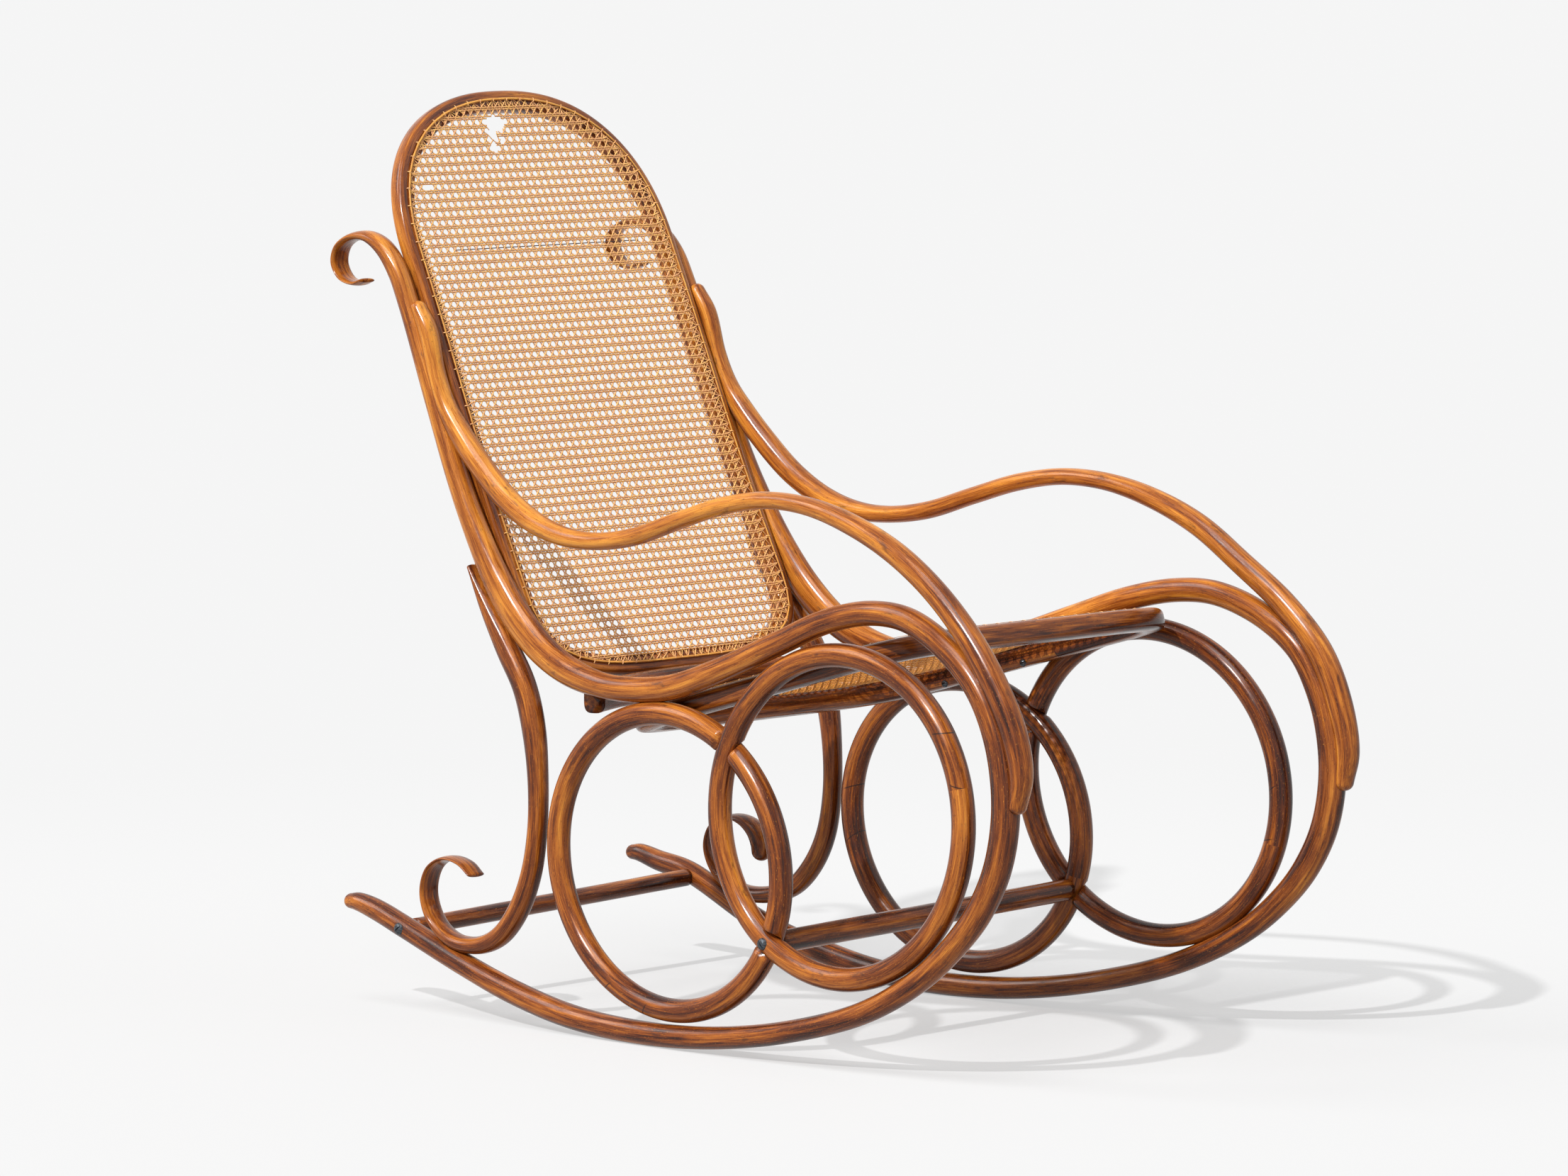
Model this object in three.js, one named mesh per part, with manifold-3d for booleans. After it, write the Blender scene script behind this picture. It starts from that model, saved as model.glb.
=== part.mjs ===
// Bentwood rocking chair: two side panels of bent rods, a caned seat and a caned back between them.
// Millimetres, +Z up. The chair faces -Y and the sitter's right panel is at -X.
import * as THREE from 'three';
import Module from 'manifold-3d';
import { mergeVertices } from 'three/addons/utils/BufferGeometryUtils.js';

const wasm = await Module();
wasm.setup();

// Side panels
const sideLength = 1080;      // back of the upper scroll to the front of the arm
const sideHeight = 888;       // floor to the top of the upper scroll
const stanceWidth = 516;      // between the two points where the runners touch the floor
const toeAngle = 1.57;        // degrees that each panel turns outwards towards the front
const leanAngle = 1.04;       // degrees that each panel leans inwards towards the top
const frameRod = 27;          // rod of the side frame, which the profile shares thin and thicken
const armRod = 27;
const supportRod = 28;
const ringRod = 26.5;

// The left panel was bent by hand a little differently
const leftFrontReach = 21;    // its front curve and armrest lie further forward
const leftHumpDrop = 12;
const leftCrestDrop = 4;      // the crest of its armrest
const leftArmDrop = 20;       // the lower end of its armrest
const leftTailBack = 11;
const leftTailLift = 10;
const leftCurlBack = 14;      // the curl at the foot of its rear support
const leftCurlLift = 8;

// Stretchers
const frontStretcherRod = 25;
const rearStretcherRod = 20.5;

// Seat
const seatDepth = 474;        // over the rail, along the tilted seat
const seatRailWidth = 33;
const seatRailHeight = 29;
const seatTilt = 15.4;        // degrees, front edge up

// Back
const backInset = 37.5;       // from the line of each runner in to the back's rail, where the arch starts
const backSideHeight = 398;   // straight part of the sides, along the back
const backArchHeight = 196;
const backFootHeight = 122;
const backSplay = 0.7;        // degrees that each side of the back spreads towards the foot
const backRailWidth = 25;
const backRailDepth = 21;

// Cross rail behind the seat
const crossRailHeight = 34;
const crossRailDepth = 24;
const crossRailBow = 52;      // how far its middle lies behind its ends

// Cane and screws
const caneThickness = 2.4;
const caneColumns = 7;        // openings across, which stand for the weave's many small ones
const caneOpenShare = 0.64;   // of a cell's width and height
const ringScrewHead = 14;
const ringScrewGrip = 16;     // length of shank in the stretcher
const ringScrewTurns = { crossing: 52, tail: -40 };  // degrees of the slots
const seatScrewHead = 9;
const seatScrewGrip = 8;      // length of shank in the ring or the side frame
const seatScrewTurn = 29;
const seatScrewDrop = 7;      // below the middle of the seat's rail
const screwHeadHeight = 3.4;
const screwShankShare = 0.34; // of the head's diameter
const screwCrownShares = [[0.5, 0.86], [0.86, 0.5]];  // of the head's radius and height
const screwSlotWidth = 1.4;
const screwSlotDepth = 1.6;

// Fits
const seam = 0.3;             // clearance between two pieces that touch
const bedding = 0.7;          // how deep touching rods press before the seam is cut
const overrun = 5;            // how far a cut runs past the surface

// Smoothness
const rodFacets = 12;
const stationTurn = 13;       // degrees of bend between two sections of a rod
const stationSpacing = 75;    // longest stretch between two sections
const traceSteps = 720;       // fine steps in which a curve is followed
const tiny = 1e-9;

const radians = THREE.MathUtils.degToRad;

// Side frame from the tip of the upper scroll, down the post, over the dip and the hump,
// round the front and back along the runner to the tail.
// Each row: along and up, as shares of the side's length and height from the point on the
// floor, then thickness in the panel and width across it, as shares of the rod.
const tailSeatShares = [-0.351, 0.108];
const leftTailSeatShares = [-0.358, 0.121];
const framePathShares = [
  [-0.421, 0.936, 0.20, 0.96],
  [-0.432, 0.932, 0.22, 1.02],
  [-0.451, 0.938, 0.24, 1.04],
  [-0.462, 0.957, 0.26, 1.04],
  [-0.458, 0.977, 0.28, 1.04],
  [-0.442, 0.990, 0.34, 1.04],
  [-0.419, 0.993, 0.48, 1.02],
  [-0.396, 0.981, 0.72, 0.98],
  [-0.375, 0.954, 0.88, 0.94],
  [-0.356, 0.909, 0.90, 0.92],
  [-0.315, 0.790, 0.93, 0.93],
  [-0.276, 0.682, 1.00, 0.98],
  [-0.247, 0.617, 1.15, 1.02],
  [-0.219, 0.564, 1.33, 1.04],
  [-0.188, 0.519, 1.42, 1.06],
  [-0.152, 0.483, 1.36, 1.06],
  [-0.112, 0.459, 1.25, 1.06],
  [-0.064, 0.446, 1.08, 1.06],
  [-0.014, 0.445, 1.06, 1.06],
  [0.037, 0.453, 1.06, 1.06],
  [0.106, 0.481, 1.03, 1.03],
  [0.187, 0.521, 1.02, 1.02],
  [0.250, 0.552, 1.02, 1.02],
  [0.311, 0.567, 1.02, 1.02],
  [0.362, 0.562, 1.04, 1.04],
  [0.412, 0.533, 1.06, 1.06],
  [0.452, 0.492, 1.08, 1.08],
  [0.476, 0.446, 1.12, 1.10],
  [0.490, 0.394, 1.17, 1.12],
  [0.494, 0.335, 1.20, 1.14],
  [0.484, 0.272, 1.18, 1.14],
  [0.460, 0.217, 1.12, 1.10],
  [0.427, 0.172, 1.04, 1.04],
  [0.382, 0.127, 0.98, 1.00],
  [0.310, 0.080, 0.94, 0.96],
  [0.206, 0.043, 0.92, 0.94],
  [0.100, 0.022, 0.95, 0.95],
  [0.001, 0.016, 1.00, 1.00],
  [-0.100, 0.023, 1.03, 1.02],
  [-0.188, 0.044, 1.04, 1.02],
  [-0.263, 0.071, 0.98, 1.00],
  [...tailSeatShares, 0.96, 0.98],
  [-0.398, 0.127, 0.92, 0.94],
  [-0.424, 0.134, 0.80, 0.86],
  [-0.434, 0.134, 0.68, 0.76],
];

// Armrest from its upper end on the post to its lower end on the front of the side frame
const armPathShares = [
  [-0.341, 0.904, 0.66, 0.74],
  [-0.327, 0.876, 0.82, 0.84],
  [-0.313, 0.822, 0.74, 0.84],
  [-0.298, 0.782, 0.84, 0.90],
  [-0.276, 0.747, 1.00, 1.00],
  [-0.247, 0.711, 1.04, 1.04],
  [-0.207, 0.670, 1.02, 1.04],
  [-0.164, 0.642, 0.94, 1.00],
  [-0.120, 0.628, 0.82, 0.94],
  [-0.074, 0.626, 0.74, 0.90],
  [-0.020, 0.636, 0.76, 0.90],
  [0.044, 0.661, 0.74, 0.90],
  [0.105, 0.683, 0.74, 0.90],
  [0.165, 0.694, 0.72, 0.90],
  [0.225, 0.690, 0.76, 0.92],
  [0.286, 0.671, 0.88, 0.96],
  [0.344, 0.641, 0.97, 1.00],
  [0.397, 0.599, 1.00, 1.02],
  [0.444, 0.546, 1.06, 1.04],
  [0.480, 0.489, 1.13, 1.06],
  [0.504, 0.436, 1.12, 1.04],
  [0.514, 0.388, 0.98, 0.98],
  [0.510, 0.352, 0.70, 0.84],
];

// Rear support from its thin tip behind the post to the curl of the lower scroll
const supportPathShares = [
  [-0.257, 0.580, 0.22, 0.60],
  [-0.231, 0.530, 0.70, 0.86],
  [-0.203, 0.480, 1.00, 0.98],
  [-0.178, 0.434, 1.04, 0.96],
  [-0.164, 0.383, 1.02, 0.94],
  [-0.157, 0.321, 0.80, 0.92],
  [-0.157, 0.258, 0.72, 0.92],
  [-0.166, 0.196, 0.80, 0.94],
  [-0.185, 0.147, 0.84, 0.96],
  [-0.211, 0.113, 0.80, 0.98],
  [-0.243, 0.098, 0.72, 0.98],
  [-0.279, 0.101, 0.64, 1.00],
  [-0.307, 0.125, 0.44, 1.04],
  [-0.318, 0.159, 0.28, 1.04],
  [-0.310, 0.190, 0.23, 1.04],
  [-0.288, 0.205, 0.21, 1.04],
  [-0.264, 0.201, 0.20, 1.00],
  [-0.248, 0.188, 0.20, 0.94],
];

// The rings are bent to fit inside the side frame, so they follow its length and height too.
// Each is an ellipse: its middle, then two half axes, one ahead and one upwards.
const frontRingShares = [[0.272, 0.314], [0.162, 0.050], [-0.040, 0.192]];
const rearRingShares = [[0.033, 0.234], [0.146, -0.081], [0.062, 0.166]];
const leftFrontRingShares = [[0.280, 0.307], [0.160, -0.062], [0.049, 0.186]];
const leftRearRingShares = [[0.028, 0.233], [0.151, -0.055], [0.043, 0.175]];

// The stretches over which the left panel's differences grow, as shares along and up
const leftFrontAlongShares = [0.24, 0.44];
const leftFrontUpShares = [0.60, 0.50];
const leftHumpAlongShares = [0.10, 0.28, 0.46];
const leftHumpUpShares = [0.66, 0.57];
const leftCrestAlongShares = [-0.20, 0.16, 0.46];
const leftCrestUpShares = [0.57, 0.66];
const leftArmEndAlongShares = [0.495, 0.503];
const leftArmEndUpShares = [0.50, 0.36];
const leftTailAlongShares = [-0.30, -0.42];
const leftCurlUpShares = [0.24, 0.12];
const leftCurlAlongShares = [-0.19, -0.27];
const lowUpShares = [0.40, 0.25];    // from the hump down to the runner

// Middle of the seat, at half the height of its rail
const seatPlaceShares = [0.137, 0.458];
const seatCornerPower = 7;    // superellipse power of the seat's plan
const seatScrewShares = [-0.24, 0.01];  // of the seat's depth, from its middle

// Side view of the back, from its foot to the top of the arch
const backProfileShares = [
  [-0.174, 0.446],
  [-0.270, 0.690],
  [-0.341, 0.891],
  [-0.410, 1.082],
  [-0.435, 1.158],
];
const backFootPower = 3.6;
const backArchPower = 2.35;

// Ends of the cross rail
const crossRailPlaceShares = [-0.088, 0.427];
const railPower = 3.4;        // superellipse power of the sections of the seat's and back's rails

// The plane of a side panel: side is -1 for the sitter's right and 1 for the left
function panelPlane(side) {
  const toe = radians(toeAngle);
  const lean = radians(leanAngle);
  const along = new THREE.Vector3(side * Math.sin(toe), -Math.cos(toe), 0);
  const level = new THREE.Vector3(side * Math.cos(toe), Math.sin(toe), 0);
  const up = new THREE.Vector3(0, 0, Math.cos(lean)).addScaledVector(level, -Math.sin(lean));
  const out = new THREE.Vector3(0, 0, Math.sin(lean)).addScaledVector(level, Math.cos(lean));
  const origin = new THREE.Vector3(side * stanceWidth / 2, 0, 0);
  return { along, up, out, origin };
}

function panelPoint(plane, along, up, out = 0) {
  return plane.origin.clone()
    .addScaledVector(plane.along, along)
    .addScaledVector(plane.up, up)
    .addScaledVector(plane.out, out);
}

// Unit sections, which a station scales to its half sizes
function superSection(power, facets) {
  return Array.from({ length: facets }, (_, i) => {
    const angle = 2 * Math.PI * i / facets;
    return [signedPower(Math.cos(angle), 2 / power), signedPower(Math.sin(angle), 2 / power)];
  });
}

function signedPower(value, power) {
  const clean = Math.abs(value) < tiny ? 0 : value;
  return Math.sign(clean) * Math.abs(clean) ** power;
}

const roundSection = superSection(2, rodFacets);
const railSection = superSection(railPower, rodFacets);
const plateSection = [[1, 1], [-1, 1], [-1, -1], [1, -1]];

// A closed body through stations. Each station holds its centre, the unit vectors across and
// aside, and the half sizes in those two directions. An open rod can end in domes.
function sweep(stations, section, { closed = false, domed = false, grow = 0 } = {}) {
  const rows = domed ? [...dome(stations, 0), ...stations, ...dome(stations, 1)] : stations;
  const vertices = [];
  for (const { centre, across, aside, halfAcross, halfAside } of rows) {
    for (const [x, y] of section) {
      const point = centre.clone()
        .addScaledVector(across, x * (halfAcross + grow))
        .addScaledVector(aside, y * (halfAside + grow));
      vertices.push(point.x, point.y, point.z);
    }
  }
  const n = section.length;
  const triangles = [];
  const rowCount = closed ? rows.length : rows.length - 1;
  for (let i = 0; i < rowCount; i += 1) {
    const next = (i + 1) % rows.length;
    for (let j = 0; j < n; j += 1) {
      const k = (j + 1) % n;
      triangles.push([i * n + j, i * n + k, next * n + k], [i * n + j, next * n + k, next * n + j]);
    }
  }
  if (!closed) {
    const last = (rows.length - 1) * n;
    for (let j = 1; j < n - 1; j += 1) {
      triangles.push([0, j + 1, j], [last, last + j, last + j + 1]);
    }
  }
  const travel = rows[1].centre.clone().sub(rows[0].centre);
  const outward = rows[0].across.clone().cross(rows[0].aside).dot(travel) > 0;
  const index = triangles.flatMap(([a, b, c]) => (outward ? [a, b, c] : [a, c, b]));
  return new wasm.Manifold(new wasm.Mesh({
    numProp: 3,
    vertProperties: new Float32Array(vertices),
    triVerts: new Uint32Array(index),
  }));
}

// Shrinking stations that round the start (0) or the end (1) of a rod
const domeAngles = [30, 58, 80];
function dome(stations, end) {
  const tip = stations.at(end ? -1 : 0);
  const before = stations.at(end ? -2 : 1);
  const ahead = tip.centre.clone().sub(before.centre).normalize();
  const reach = Math.min(tip.halfAcross, tip.halfAside);
  const rows = domeAngles.map((degrees) => ({
    ...tip,
    centre: tip.centre.clone().addScaledVector(ahead, reach * Math.sin(radians(degrees))),
    halfAcross: tip.halfAcross * Math.cos(radians(degrees)),
    halfAside: tip.halfAside * Math.cos(radians(degrees)),
  }));
  return end ? rows : rows.reverse();
}

// Places along a fine trace of points where a rod needs a section: after each stationTurn of
// bend or stationSpacing of length, and at both ends of an open trace
function placesAlong(points, closed) {
  const last = points.length - 1;
  const at = (i) => points[closed ? (i + points.length) % points.length : THREE.MathUtils.clamp(i, 0, last)];
  const tangentAt = (i) => at(i + 1).clone().sub(at(i - 1)).normalize();
  const places = [];
  let turned = Infinity;
  let travelled = 0;
  points.forEach((centre, i) => {
    const tangent = tangentAt(i);
    turned += tangent.angleTo(tangentAt(i - 1));
    travelled += centre.distanceTo(at(i - 1));
    const ending = !closed && i === last;
    if (turned < radians(stationTurn) && travelled < stationSpacing && !ending) return;
    places.push({ centre, tangent, index: i });
    turned = 0;
    travelled = 0;
  });
  return places;
}

// Rises smoothly from 0 to 1 between two shares, and falls again to a third one if there is one
function fade(value, [start, peak, end]) {
  const rise = THREE.MathUtils.smoothstep((value - start) / (peak - start), 0, 1);
  return end === undefined ? rise : rise - THREE.MathUtils.smoothstep((value - peak) / (end - peak), 0, 1);
}

// Place in a panel for shares along and up, with the left panel's differences
function bentPlace(side, along, up) {
  const place = new THREE.Vector3(along * sideLength, up * sideHeight, 0);
  if (side < 0) return place;
  const low = fade(up, lowUpShares);
  const front = fade(along, leftFrontAlongShares) * fade(up, leftFrontUpShares);
  const hump = fade(along, leftHumpAlongShares) * fade(up, leftHumpUpShares) * (1 - low);
  const crest = fade(along, leftCrestAlongShares) * fade(up, leftCrestUpShares);
  const armEnd = fade(along, leftArmEndAlongShares) * fade(up, leftArmEndUpShares);
  const tail = fade(along, leftTailAlongShares) * low;
  place.x += leftFrontReach * front - leftTailBack * tail;
  place.y += leftTailLift * tail - leftHumpDrop * hump - leftCrestDrop * crest - leftArmDrop * armEnd;
  return place;
}

// The same in a rear support, whose curl lies further back in the left panel
function supportPlace(side, along, up) {
  const place = new THREE.Vector3(along * sideLength, up * sideHeight, 0);
  if (side < 0) return place;
  place.x -= leftCurlBack * fade(along, leftCurlAlongShares);
  place.y += leftCurlLift * fade(up, leftCurlUpShares);
  return place;
}

// Stations along a path in a side panel
function rodStations(side, pathShares, rod, placeOf) {
  const plane = panelPlane(side);
  const path = new THREE.CatmullRomCurve3(pathShares.map(([along, up]) => placeOf(side, along, up)));
  const sizes = new THREE.CatmullRomCurve3(
    pathShares.map(([, , thick, wide]) => new THREE.Vector3(thick * rod / 2, wide * rod / 2, 0)),
  ).getPoints(traceSteps);
  const trace = path.getPoints(traceSteps).map(({ x, y }) => panelPoint(plane, x, y));
  return placesAlong(trace, false).map(({ centre, tangent, index }) => ({
    centre,
    across: tangent.clone().cross(plane.out),
    aside: plane.out,
    halfAcross: sizes[index].x,
    halfAside: sizes[index].y,
  }));
}

// The middle line of a ring, as an ellipse in its panel
function ring(ringShares) {
  const placeOf = ([along, up]) => new THREE.Vector2(along * sideLength, up * sideHeight);
  const [middle, ahead, above] = ringShares.map(placeOf);
  return {
    point: (angle) => middle.clone()
      .addScaledVector(ahead, Math.cos(angle))
      .addScaledVector(above, Math.sin(angle)),
    // below zero inside the ellipse and above zero outside
    inside: (point) => {
      const reach = point.clone().sub(middle);
      return (reach.cross(above) ** 2 + reach.cross(ahead) ** 2) / ahead.cross(above) ** 2 - 1;
    },
  };
}

function ringStations(plane, { point }) {
  const trace = Array.from({ length: traceSteps }, (_, i) => {
    const { x, y } = point(2 * Math.PI * i / traceSteps);
    return panelPoint(plane, x, y);
  });
  return placesAlong(trace, true).map(({ centre, tangent }) => ({
    centre,
    across: tangent.clone().cross(plane.out),
    aside: plane.out,
    halfAcross: ringRod / 2,
    halfAside: ringRod / 2,
  }));
}

// Where one ring's lower half meets the other's centre line, found by halving an angle
function lowerCrossing(one, other) {
  let low = Math.PI;
  let high = 1.5 * Math.PI;
  while (high - low > tiny) {
    const middle = (low + high) / 2;
    if (other.inside(one.point(middle)) < 0) low = middle;
    else high = middle;
  }
  return one.point(low);
}

// Half of space on one side of a panel's middle plane, as a large box
function halfSpace(plane, towards, reach) {
  const size = 2 * sideLength;
  const box = new THREE.BoxGeometry(size, size, size);
  const basis = new THREE.Matrix4().makeBasis(plane.along, plane.up, plane.along.clone().cross(plane.up));
  box.applyMatrix4(basis);
  const middle = panelPoint(plane, 0, sideHeight / 2, towards * (size / 2 - reach));
  box.translate(middle.x, middle.y, middle.z);
  return solidOf(box);
}

function solidOf(geometry) {
  geometry.deleteAttribute('normal');
  geometry.deleteAttribute('uv');
  const merged = mergeVertices(geometry);
  return new wasm.Manifold(new wasm.Mesh({
    numProp: 3,
    vertProperties: new Float32Array(merged.attributes.position.array),
    triVerts: new Uint32Array(merged.index.array),
  }));
}

function carve(solid, tools) {
  return tools.reduce((rest, tool) => rest.subtract(tool), solid);
}

// A slotted round-head screw whose head's underside is at a point, driven along a direction
function screw(point, direction, headDiameter, length, slotTurn) {
  const build = (grow) => {
    const head = headDiameter / 2 + grow;
    const shank = headDiameter * screwShankShare / 2 + grow;
    const profile = [
      [0, -length - grow],
      [shank, -length - grow],
      [shank, -grow],
      [head, -grow],
      ...screwCrownShares.map(([out, up]) => [head * out, screwHeadHeight * up + grow]).reverse(),
      [0, screwHeadHeight + grow],
    ];
    const geometry = new THREE.LatheGeometry(profile.map(([x, y]) => new THREE.Vector2(x, y)), rodFacets);
    return solidOf(geometry);
  };
  const slot = new THREE.BoxGeometry(headDiameter + 2 * overrun, 2 * screwSlotDepth, screwSlotWidth);
  slot.rotateY(radians(slotTurn));
  slot.translate(0, screwHeadHeight, 0);
  const turn = new THREE.Quaternion().setFromUnitVectors(new THREE.Vector3(0, -1, 0), direction);
  const placement = new THREE.Matrix4().compose(point, turn, new THREE.Vector3(1, 1, 1)).toArray();
  return {
    body: build(0).subtract(solidOf(slot)).transform(placement),
    bore: build(seam).transform(placement),
  };
}

// Placement of the seat: x to the left panel, y to the front, z up, from the seat's middle
function seatPoint(x, y, z) {
  const tilt = radians(seatTilt);
  return new THREE.Vector3(
    x,
    -(seatPlaceShares[0] * sideLength + y * Math.cos(tilt) - z * Math.sin(tilt)),
    seatPlaceShares[1] * sideHeight + y * Math.sin(tilt) + z * Math.cos(tilt),
  );
}

// Half the seat's width at a place along it: its sides lie against the rings of both panels
function seatHalfWidth(y) {
  const plane = panelPlane(1);
  const place = panelPoint(plane, seatPlaceShares[0] * sideLength, seatPlaceShares[1] * sideHeight);
  return place.x - ringRod / 2 + bedding + y * Math.sin(radians(toeAngle));
}

// Point of the seat's plan on the middle line of its rail
function seatPlan(angle) {
  const inset = seatRailWidth / 2;
  const y = (seatDepth / 2 - inset) * signedPower(Math.sin(angle), 2 / seatCornerPower);
  const x = (seatHalfWidth(y) - inset) * signedPower(Math.cos(angle), 2 / seatCornerPower);
  return new THREE.Vector3(x, y, 0);
}

const seatNormal = seatPoint(0, 0, 1).sub(seatPoint(0, 0, 0));

function seatRail() {
  const trace = Array.from({ length: traceSteps }, (_, i) => {
    const { x, y } = seatPlan(2 * Math.PI * (i + 0.5) / traceSteps);
    return seatPoint(x, y, 0);
  });
  const stations = placesAlong(trace, true).map(({ centre, tangent }) => ({
    centre,
    across: tangent.clone().cross(seatNormal),
    aside: seatNormal,
    halfAcross: seatRailWidth / 2,
    halfAside: seatRailHeight / 2,
  }));
  return sweep(stations, railSection, { closed: true });
}

// A thin plate over a frame, between its right edge and the mirror image of that edge, open in
// a plain grid inside the frame's rail. Each edge point holds half the width and the place along
// the plate's middle.
function plate(edge, railWidth, centreAt, normalAt) {
  const across = new THREE.Vector3(1, 0, 0);
  const stations = placesAlong(edge, false).map(({ centre: { x, y } }) => ({
    centre: centreAt(y),
    across,
    aside: normalAt(y),
    halfAcross: x,
    halfAside: caneThickness / 2,
  }));
  const inset = railWidth / 2;
  const low = edge[0].y + inset;
  const high = edge.at(-1).y - inset;
  const halfWidth = Math.max(...edge.map(({ x }) => x)) - inset;
  const columnGap = 2 * halfWidth / caneColumns;
  const rows = Math.round((high - low) / columnGap);
  const rowGap = (high - low) / rows;
  const nearer = (one, other, y) => (Math.abs(one.y - y) < Math.abs(other.y - y) ? one : other);
  const widthAt = (y) => edge.reduce((best, point) => nearer(best, point, y)).x;
  const cells = [];
  for (let row = 0; row < rows; row += 1) {
    const y = low + (row + 0.5) * rowGap;
    const reach = rowGap * caneOpenShare / 2;
    const room = Math.min(widthAt(y - reach), widthAt(y + reach)) - inset;
    const normal = normalAt(y);
    const basis = new THREE.Matrix4().makeBasis(across, normal.clone().cross(across), normal);
    for (let column = 0; column < caneColumns; column += 1) {
      const x = (column + 0.5) * columnGap - halfWidth;
      if (Math.abs(x) + columnGap * caneOpenShare / 2 > room) continue;
      const cell = new THREE.BoxGeometry(columnGap * caneOpenShare, 2 * reach, caneThickness + 2 * overrun);
      cell.applyMatrix4(basis);
      const { y: back, z: up } = centreAt(y);
      cell.translate(x, back, up);
      cells.push(solidOf(cell));
    }
  }
  return carve(sweep(stations, plateSection), cells);
}

// The cane of the seat lies on the rail out to the middle of its top
function seatCane() {
  const height = seatRailHeight / 2 + seam + caneThickness / 2;
  const angles = Array.from({ length: traceSteps }, (_, i) => Math.PI * ((i + 0.5) / traceSteps - 0.5));
  return plate(angles.map(seatPlan), seatRailWidth, (y) => seatPoint(0, y, height), () => seatNormal);
}

// The back bends only in side view: its profile gives the place and the slope at a height
// measured along it from the foot of the loop's middle line
const backProfile = new THREE.CatmullRomCurve3(
  backProfileShares.map(([along, up]) => new THREE.Vector3(0, -along * sideLength, up * sideHeight)),
);
const backMiddleHeight = backSideHeight + backArchHeight + backFootHeight - backRailWidth;

function backPoint(x, height, forward) {
  const share = THREE.MathUtils.clamp(height / backMiddleHeight, 0, 1);
  const centre = backProfile.getPointAt(share);
  centre.x = x;
  return centre.addScaledVector(backNormal(height), forward);
}

function backNormal(height) {
  const slope = backProfile.getTangentAt(THREE.MathUtils.clamp(height / backMiddleHeight, 0, 1));
  return new THREE.Vector3(0, -slope.z, slope.y);
}

// Middle line of the loop, as half the width and the height, at a step: up to 1 over the arch,
// to 2 down the left side, to 3 round the foot and to 4 up the right side
function backOutline(step) {
  const part = Math.floor(step) % 4;
  const share = step % 1;
  const footTop = backFootHeight - backRailWidth / 2;
  const archFoot = footTop + backSideHeight;
  const widthAt = (height) => (stanceWidth - backRailWidth) / 2 - backInset
    + Math.max(0, archFoot - height) * Math.tan(radians(backSplay));
  if (part % 2 === 1) {
    const height = THREE.MathUtils.lerp(footTop, archFoot, part === 1 ? 1 - share : share);
    return new THREE.Vector3((part - 2) * widthAt(height), height, 0);
  }
  const power = part === 0 ? backArchPower : backFootPower;
  const reach = (part === 0 ? backArchHeight : backFootHeight) - backRailWidth / 2;
  const angle = Math.PI * (part / 2 + share);
  const height = (part === 0 ? archFoot : footTop) + reach * signedPower(Math.sin(angle), 2 / power);
  return new THREE.Vector3(widthAt(height) * signedPower(Math.cos(angle), 2 / power), height, 0);
}

function backRail() {
  const outline = Array.from({ length: traceSteps }, (_, i) => backOutline(4 * (i + 0.5) / traceSteps));
  const trace = outline.map(({ x, y }) => backPoint(x, y, 0));
  const stations = placesAlong(trace, true).map(({ centre, tangent, index }) => {
    const aside = backNormal(outline[index].y);
    const across = tangent.clone().cross(aside).normalize();
    return { centre, across, aside, halfAcross: backRailWidth / 2, halfAside: backRailDepth / 2 };
  });
  return sweep(stations, railSection, { closed: true });
}

// The cane of the back lies on the front of the loop out to its middle line
function backCane() {
  const forward = backRailDepth / 2 + seam + caneThickness / 2;
  const edge = Array.from({ length: traceSteps }, (_, i) => backOutline(2.5 + 2 * (i + 0.5) / traceSteps));
  return plate(edge, backRailWidth, (height) => backPoint(0, height, forward), backNormal);
}

// The cross rail bows backwards between the two side frames, behind the seat
function crossRail(grow = 0) {
  const [along, up] = crossRailPlaceShares;
  const end = panelPoint(panelPlane(1), along * sideLength, up * sideHeight, bedding - frameRod / 2);
  const level = new THREE.Vector3(0, 0, 1);
  const trace = Array.from({ length: traceSteps + 1 }, (_, i) => {
    const share = 2 * i / traceSteps - 1;
    return new THREE.Vector3(share * end.x, end.y + crossRailBow * (1 - share ** 2), end.z);
  });
  const stations = placesAlong(trace, false).map(({ centre, tangent }) => ({
    centre,
    across: tangent.clone().cross(level),
    aside: level,
    halfAcross: crossRailDepth / 2,
    halfAside: crossRailHeight / 2,
  }));
  return sweep(stations, railSection, { grow });
}

// Looks
const honey = { color: 0x9a5a24, roughness: 0.32, metalness: 0 };
const amber = { color: 0x8a4819, roughness: 0.3, metalness: 0 };
const umber = { color: 0x5d2f14, roughness: 0.35, metalness: 0 };
const rattan = { color: 0xc98a3e, roughness: 0.6, metalness: 0 };
const steel = { color: 0x5c5a58, roughness: 0.4, metalness: 1 };

const chair = new THREE.Group();
function addPiece(name, solid, look) {
  const { vertProperties, triVerts } = solid.getMesh();
  const geometry = new THREE.BufferGeometry();
  geometry.setAttribute('position', new THREE.BufferAttribute(new Float32Array(vertProperties), 3));
  geometry.setIndex(new THREE.BufferAttribute(new Uint32Array(triVerts), 1));
  geometry.computeVertexNormals();
  const mesh = new THREE.Mesh(geometry, new THREE.MeshStandardMaterial(look));
  mesh.name = name;
  chair.add(mesh);
}

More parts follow.
